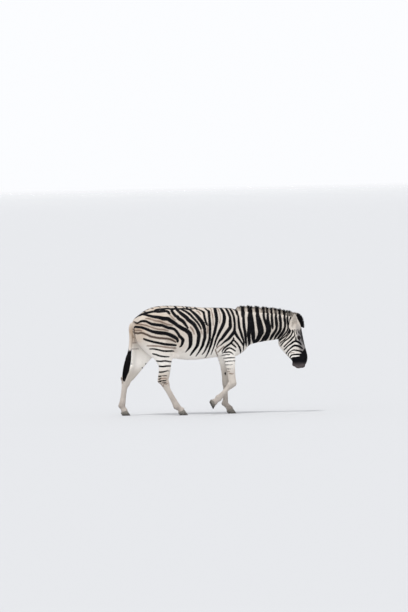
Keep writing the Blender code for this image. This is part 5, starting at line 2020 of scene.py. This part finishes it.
class ZebraSizes(bpy.types.PropertyGroup):
    skin_grain: length("Skin grain", "Cell of the grid in which the skin is merged",
                       FINE_GRAIN, 0.002, 0.010)
    coat_depth: length("Coat depth", "How far the skin lies inside the hair", 0.0025, 0.0, 0.010)
    hair_length: FloatProperty(name="Hair length", description="Length of the tufts of the coat",
                               default=1.0, min=0.3, max=2.0, subtype="FACTOR")
    hair_lift: FloatProperty(name="Hair lift", description="How steeply the tufts stand",
                             default=0.042, min=0.0, max=1.0, subtype="ANGLE")
    coat_closeness: FloatProperty(name="Coat closeness", description="How close the tufts grow",
                                  default=1.0, min=0.2, max=1.2, subtype="FACTOR")
    mane_locks: IntProperty(name="Mane locks", description="Number of locks in the mane",
                            default=4200, min=100, max=6000)
    forelock_locks: IntProperty(name="Forelock locks", description="Number of locks in the forelock",
                                default=950, min=50, max=2000)
    tail_locks: IntProperty(name="Tail locks", description="Number of locks in the tail",
                            default=1100, min=50, max=3000)


class ZebraColours(bpy.types.PropertyGroup):
    ground: colour("Ground", "Cream between the stripes", (0.825, 0.795, 0.760))
    # the paler belly is partly the coat's own colour and partly painted light thrown up from the bright
    # ground below
    belly: colour("Belly", "Paler cream of belly and legs", (0.985, 0.970, 0.945))
    stripe: colour("Stripe", "Black of the stripes", (0.045, 0.045, 0.060))
    shadow: colour("Shadow", "Tan of the shadow stripes", (0.50, 0.43, 0.385))
    blush: colour("Blush", "Tan tinge on rump and face", (0.70, 0.58, 0.46))
    slate: colour("Slate", "Grey of the worn hair and lips", (0.34, 0.335, 0.36))
    hair_light: colour("Hair light", "Lighter locks in the dark hair", (0.20, 0.16, 0.14))
    horn: colour("Horn", "Grey of the hooves", (0.335, 0.325, 0.305))
    horn_light: colour("Light horn", "Pale fibres of the hooves", (0.50, 0.48, 0.445))
    horn_dark: colour("Dark horn", "Foot of the wall", (0.13, 0.12, 0.11))
    dust: colour("Dust", "Dust on the hooves", (0.60, 0.57, 0.53))
    iris: colour("Iris", "Brown of the iris", (0.16, 0.085, 0.045))
    pupil: colour("Pupil", "Black of the pupil", (0.015, 0.012, 0.012))
    eye_white: colour("White of the eye", "What shows round the iris", (0.42, 0.33, 0.28))
    floor: colour("Floor", "Plain floor of the studio", (0.760, 0.765, 0.775))


# ---------------------------------------------------------------- operators
def skin_object():
    skin = bpy.data.objects.get("skin")
    if skin is None:
        raise RuntimeError("build the skin first")
    return skin


class ZEBRA_OT_skin(bpy.types.Operator):
    """Build the skin with its folds, face and markings"""
    bl_idname = "zebra.skin"
    bl_label = "Skin"

    def execute(self, context):
        skin = make_skin(context.scene.zebra_sizes)
        finish_piece(skin, "skin", coat_material("skin", True), SKIN_NODES)
        return {"FINISHED"}


class ZEBRA_OT_eyes(bpy.types.Operator):
    """Build both eyeballs and the lashes"""
    bl_idname = "zebra.eyes"
    bl_label = "Eyes"

    def execute(self, context):
        for side, word in ((-1, "right"), (1, "left")):
            finish_piece(make_eye(side), "eyeball_" + word, eye_material(), ("eye_" + word,))
        finish_piece(make_lashes(), "eyelashes", hair_material())
        return {"FINISHED"}


class ZEBRA_OT_hooves(bpy.types.Operator):
    """Build the four hooves"""
    bl_idname = "zebra.hooves"
    bl_label = "Hooves"

    def execute(self, context):
        for leg, place in SOLES.items():
            finish_piece(make_hoof(*place), leg + "_horn", horn_material(),
                         (leg + "_hoof",))
        return {"FINISHED"}


class ZEBRA_OT_mane(bpy.types.Operator):
    """Build the locks of the mane and the forelock"""
    bl_idname = "zebra.mane"
    bl_label = "Mane and forelock"

    def execute(self, context):
        sizes = context.scene.zebra_sizes
        finish_piece(make_mane(skin_object(), sizes), "mane_locks",
                     hair_material(), ("mane",))
        finish_piece(make_forelock(sizes), "forelock_locks",
                     hair_material(), ("forelock",))
        return {"FINISHED"}


class ZEBRA_OT_tail(bpy.types.Operator):
    """Build the long hair of the tail"""
    bl_idname = "zebra.tail"
    bl_label = "Tail hair"

    def execute(self, context):
        finish_piece(make_tail(context.scene.zebra_sizes), "tail_locks",
                     hair_material(), ("tail_tuft",))
        return {"FINISHED"}


class ZEBRA_OT_coat(bpy.types.Operator):
    """Build the tufts of the coat, region by region"""
    bl_idname = "zebra.coat"
    bl_label = "Coat"

    def execute(self, context):
        skin = skin_object()
        for index, region in enumerate(REGIONS):
            item = make_coat(skin, index, context.scene.zebra_sizes)
            finish_piece(item, region[0], coat_material("coat", False), shift=0)
        return {"FINISHED"}


class ZEBRA_OT_stage(bpy.types.Operator):
    """Build the floor, the light and the camera"""
    bl_idname = "zebra.stage"
    bl_label = "Stage"

    def execute(self, context):
        make_stage(context.scene)
        return {"FINISHED"}


VIEW_AIM = (-0.088, 0.0, 1.332)
VIEW_DISTANCE = 70.0
VIEW_ABOVE = 1.3          # degrees above the level
VIEW_ROLL = 1.3           # degrees, the ground rises to the right
VIEW_HEIGHT = 7.5276      # height of the picture at the aim, in metres
FLOOR = 3000.0            # half the side of the floor, so far that it ends at the horizon


def make_stage(scene):
    """A plain pale floor, soft light from above and a distant level camera."""
    corners = [(-FLOOR, -FLOOR, 0), (FLOOR, -FLOOR, 0), (FLOOR, FLOOR, 0), (-FLOOR, FLOOR, 0)]
    floor = mesh_from("floor", corners, [(0, 1, 2, 3)])
    floor.data.materials.append(floor_material())
    world = bpy.data.worlds.new("studio")
    world.use_nodes = True
    back = world.node_tree.nodes["Background"]
    back.inputs["Color"].default_value = (0.97, 0.98, 1.0, 1.0)
    back.inputs["Strength"].default_value = 1.0
    scene.world = world
    for name, energy, angle, colour, turn in (
            ("high light", 1.7, 9, (1.0, 0.985, 0.96), (18, -12, 0)),
            ("low light", 0.80, 14, (1.0, 1.0, 1.0), (88, 0, 8))):
        lamp = bpy.data.lights.new(name, "SUN")
        lamp.energy = energy
        lamp.angle = math.radians(angle)
        lamp.color = colour
        new_object(name, lamp).rotation_euler = [math.radians(t) for t in turn]

    lens = bpy.data.cameras.new("camera")
    lens.sensor_width = 36.0
    lens.lens = 36.0 * VIEW_DISTANCE / VIEW_HEIGHT
    lens.clip_end = 2 * FLOOR
    scene.view_settings.view_transform = "Standard"
    camera = new_object("camera", lens)
    above = math.radians(VIEW_ABOVE)
    back_way = Vector((0, -math.cos(above), math.sin(above)))
    right = Vector((1, 0, 0))
    up = back_way.cross(right)
    roll = math.radians(VIEW_ROLL)
    across = right * math.cos(roll) - up * math.sin(roll)
    tall = right * math.sin(roll) + up * math.cos(roll)
    turn = Matrix((across, tall, back_way)).transposed().to_4x4()
    camera.matrix_world = Matrix.Translation(Vector(VIEW_AIM) + back_way * VIEW_DISTANCE) @ turn
    scene.camera = camera


STEPS = ("skin", "eyes", "hooves", "mane", "tail", "coat", "stage")


class ZEBRA_PT_panel(bpy.types.Panel):
    """Sizes, colours and steps of the zebra"""
    bl_label = "Zebra"
    bl_idname = "ZEBRA_PT_panel"
    bl_space_type = "VIEW_3D"
    bl_region_type = "UI"
    bl_category = "Zebra"

    def draw(self, context):
        for group in (context.scene.zebra_sizes, context.scene.zebra_colours):
            box = self.layout.box()
            for name in group.bl_rna.properties.keys():
                if name not in ("rna_type", "name"):
                    box.prop(group, name)
        for step in STEPS:
            self.layout.operator("zebra." + step)


CLASSES = (ZebraSizes, ZebraColours, ZEBRA_OT_skin, ZEBRA_OT_eyes, ZEBRA_OT_hooves,
           ZEBRA_OT_mane, ZEBRA_OT_tail, ZEBRA_OT_coat, ZEBRA_OT_stage, ZEBRA_PT_panel)


def register():
    for kind in CLASSES:
        bpy.utils.register_class(kind)
    bpy.types.Scene.zebra_sizes = PointerProperty(type=ZebraSizes)
    bpy.types.Scene.zebra_colours = PointerProperty(type=ZebraColours)


def unregister():
    del bpy.types.Scene.zebra_colours
    del bpy.types.Scene.zebra_sizes
    for kind in reversed(CLASSES):
        bpy.utils.unregister_class(kind)


def main():
    register()
    for step in STEPS:
        getattr(bpy.ops.zebra, step)()


if __name__ == "__main__":
    main()
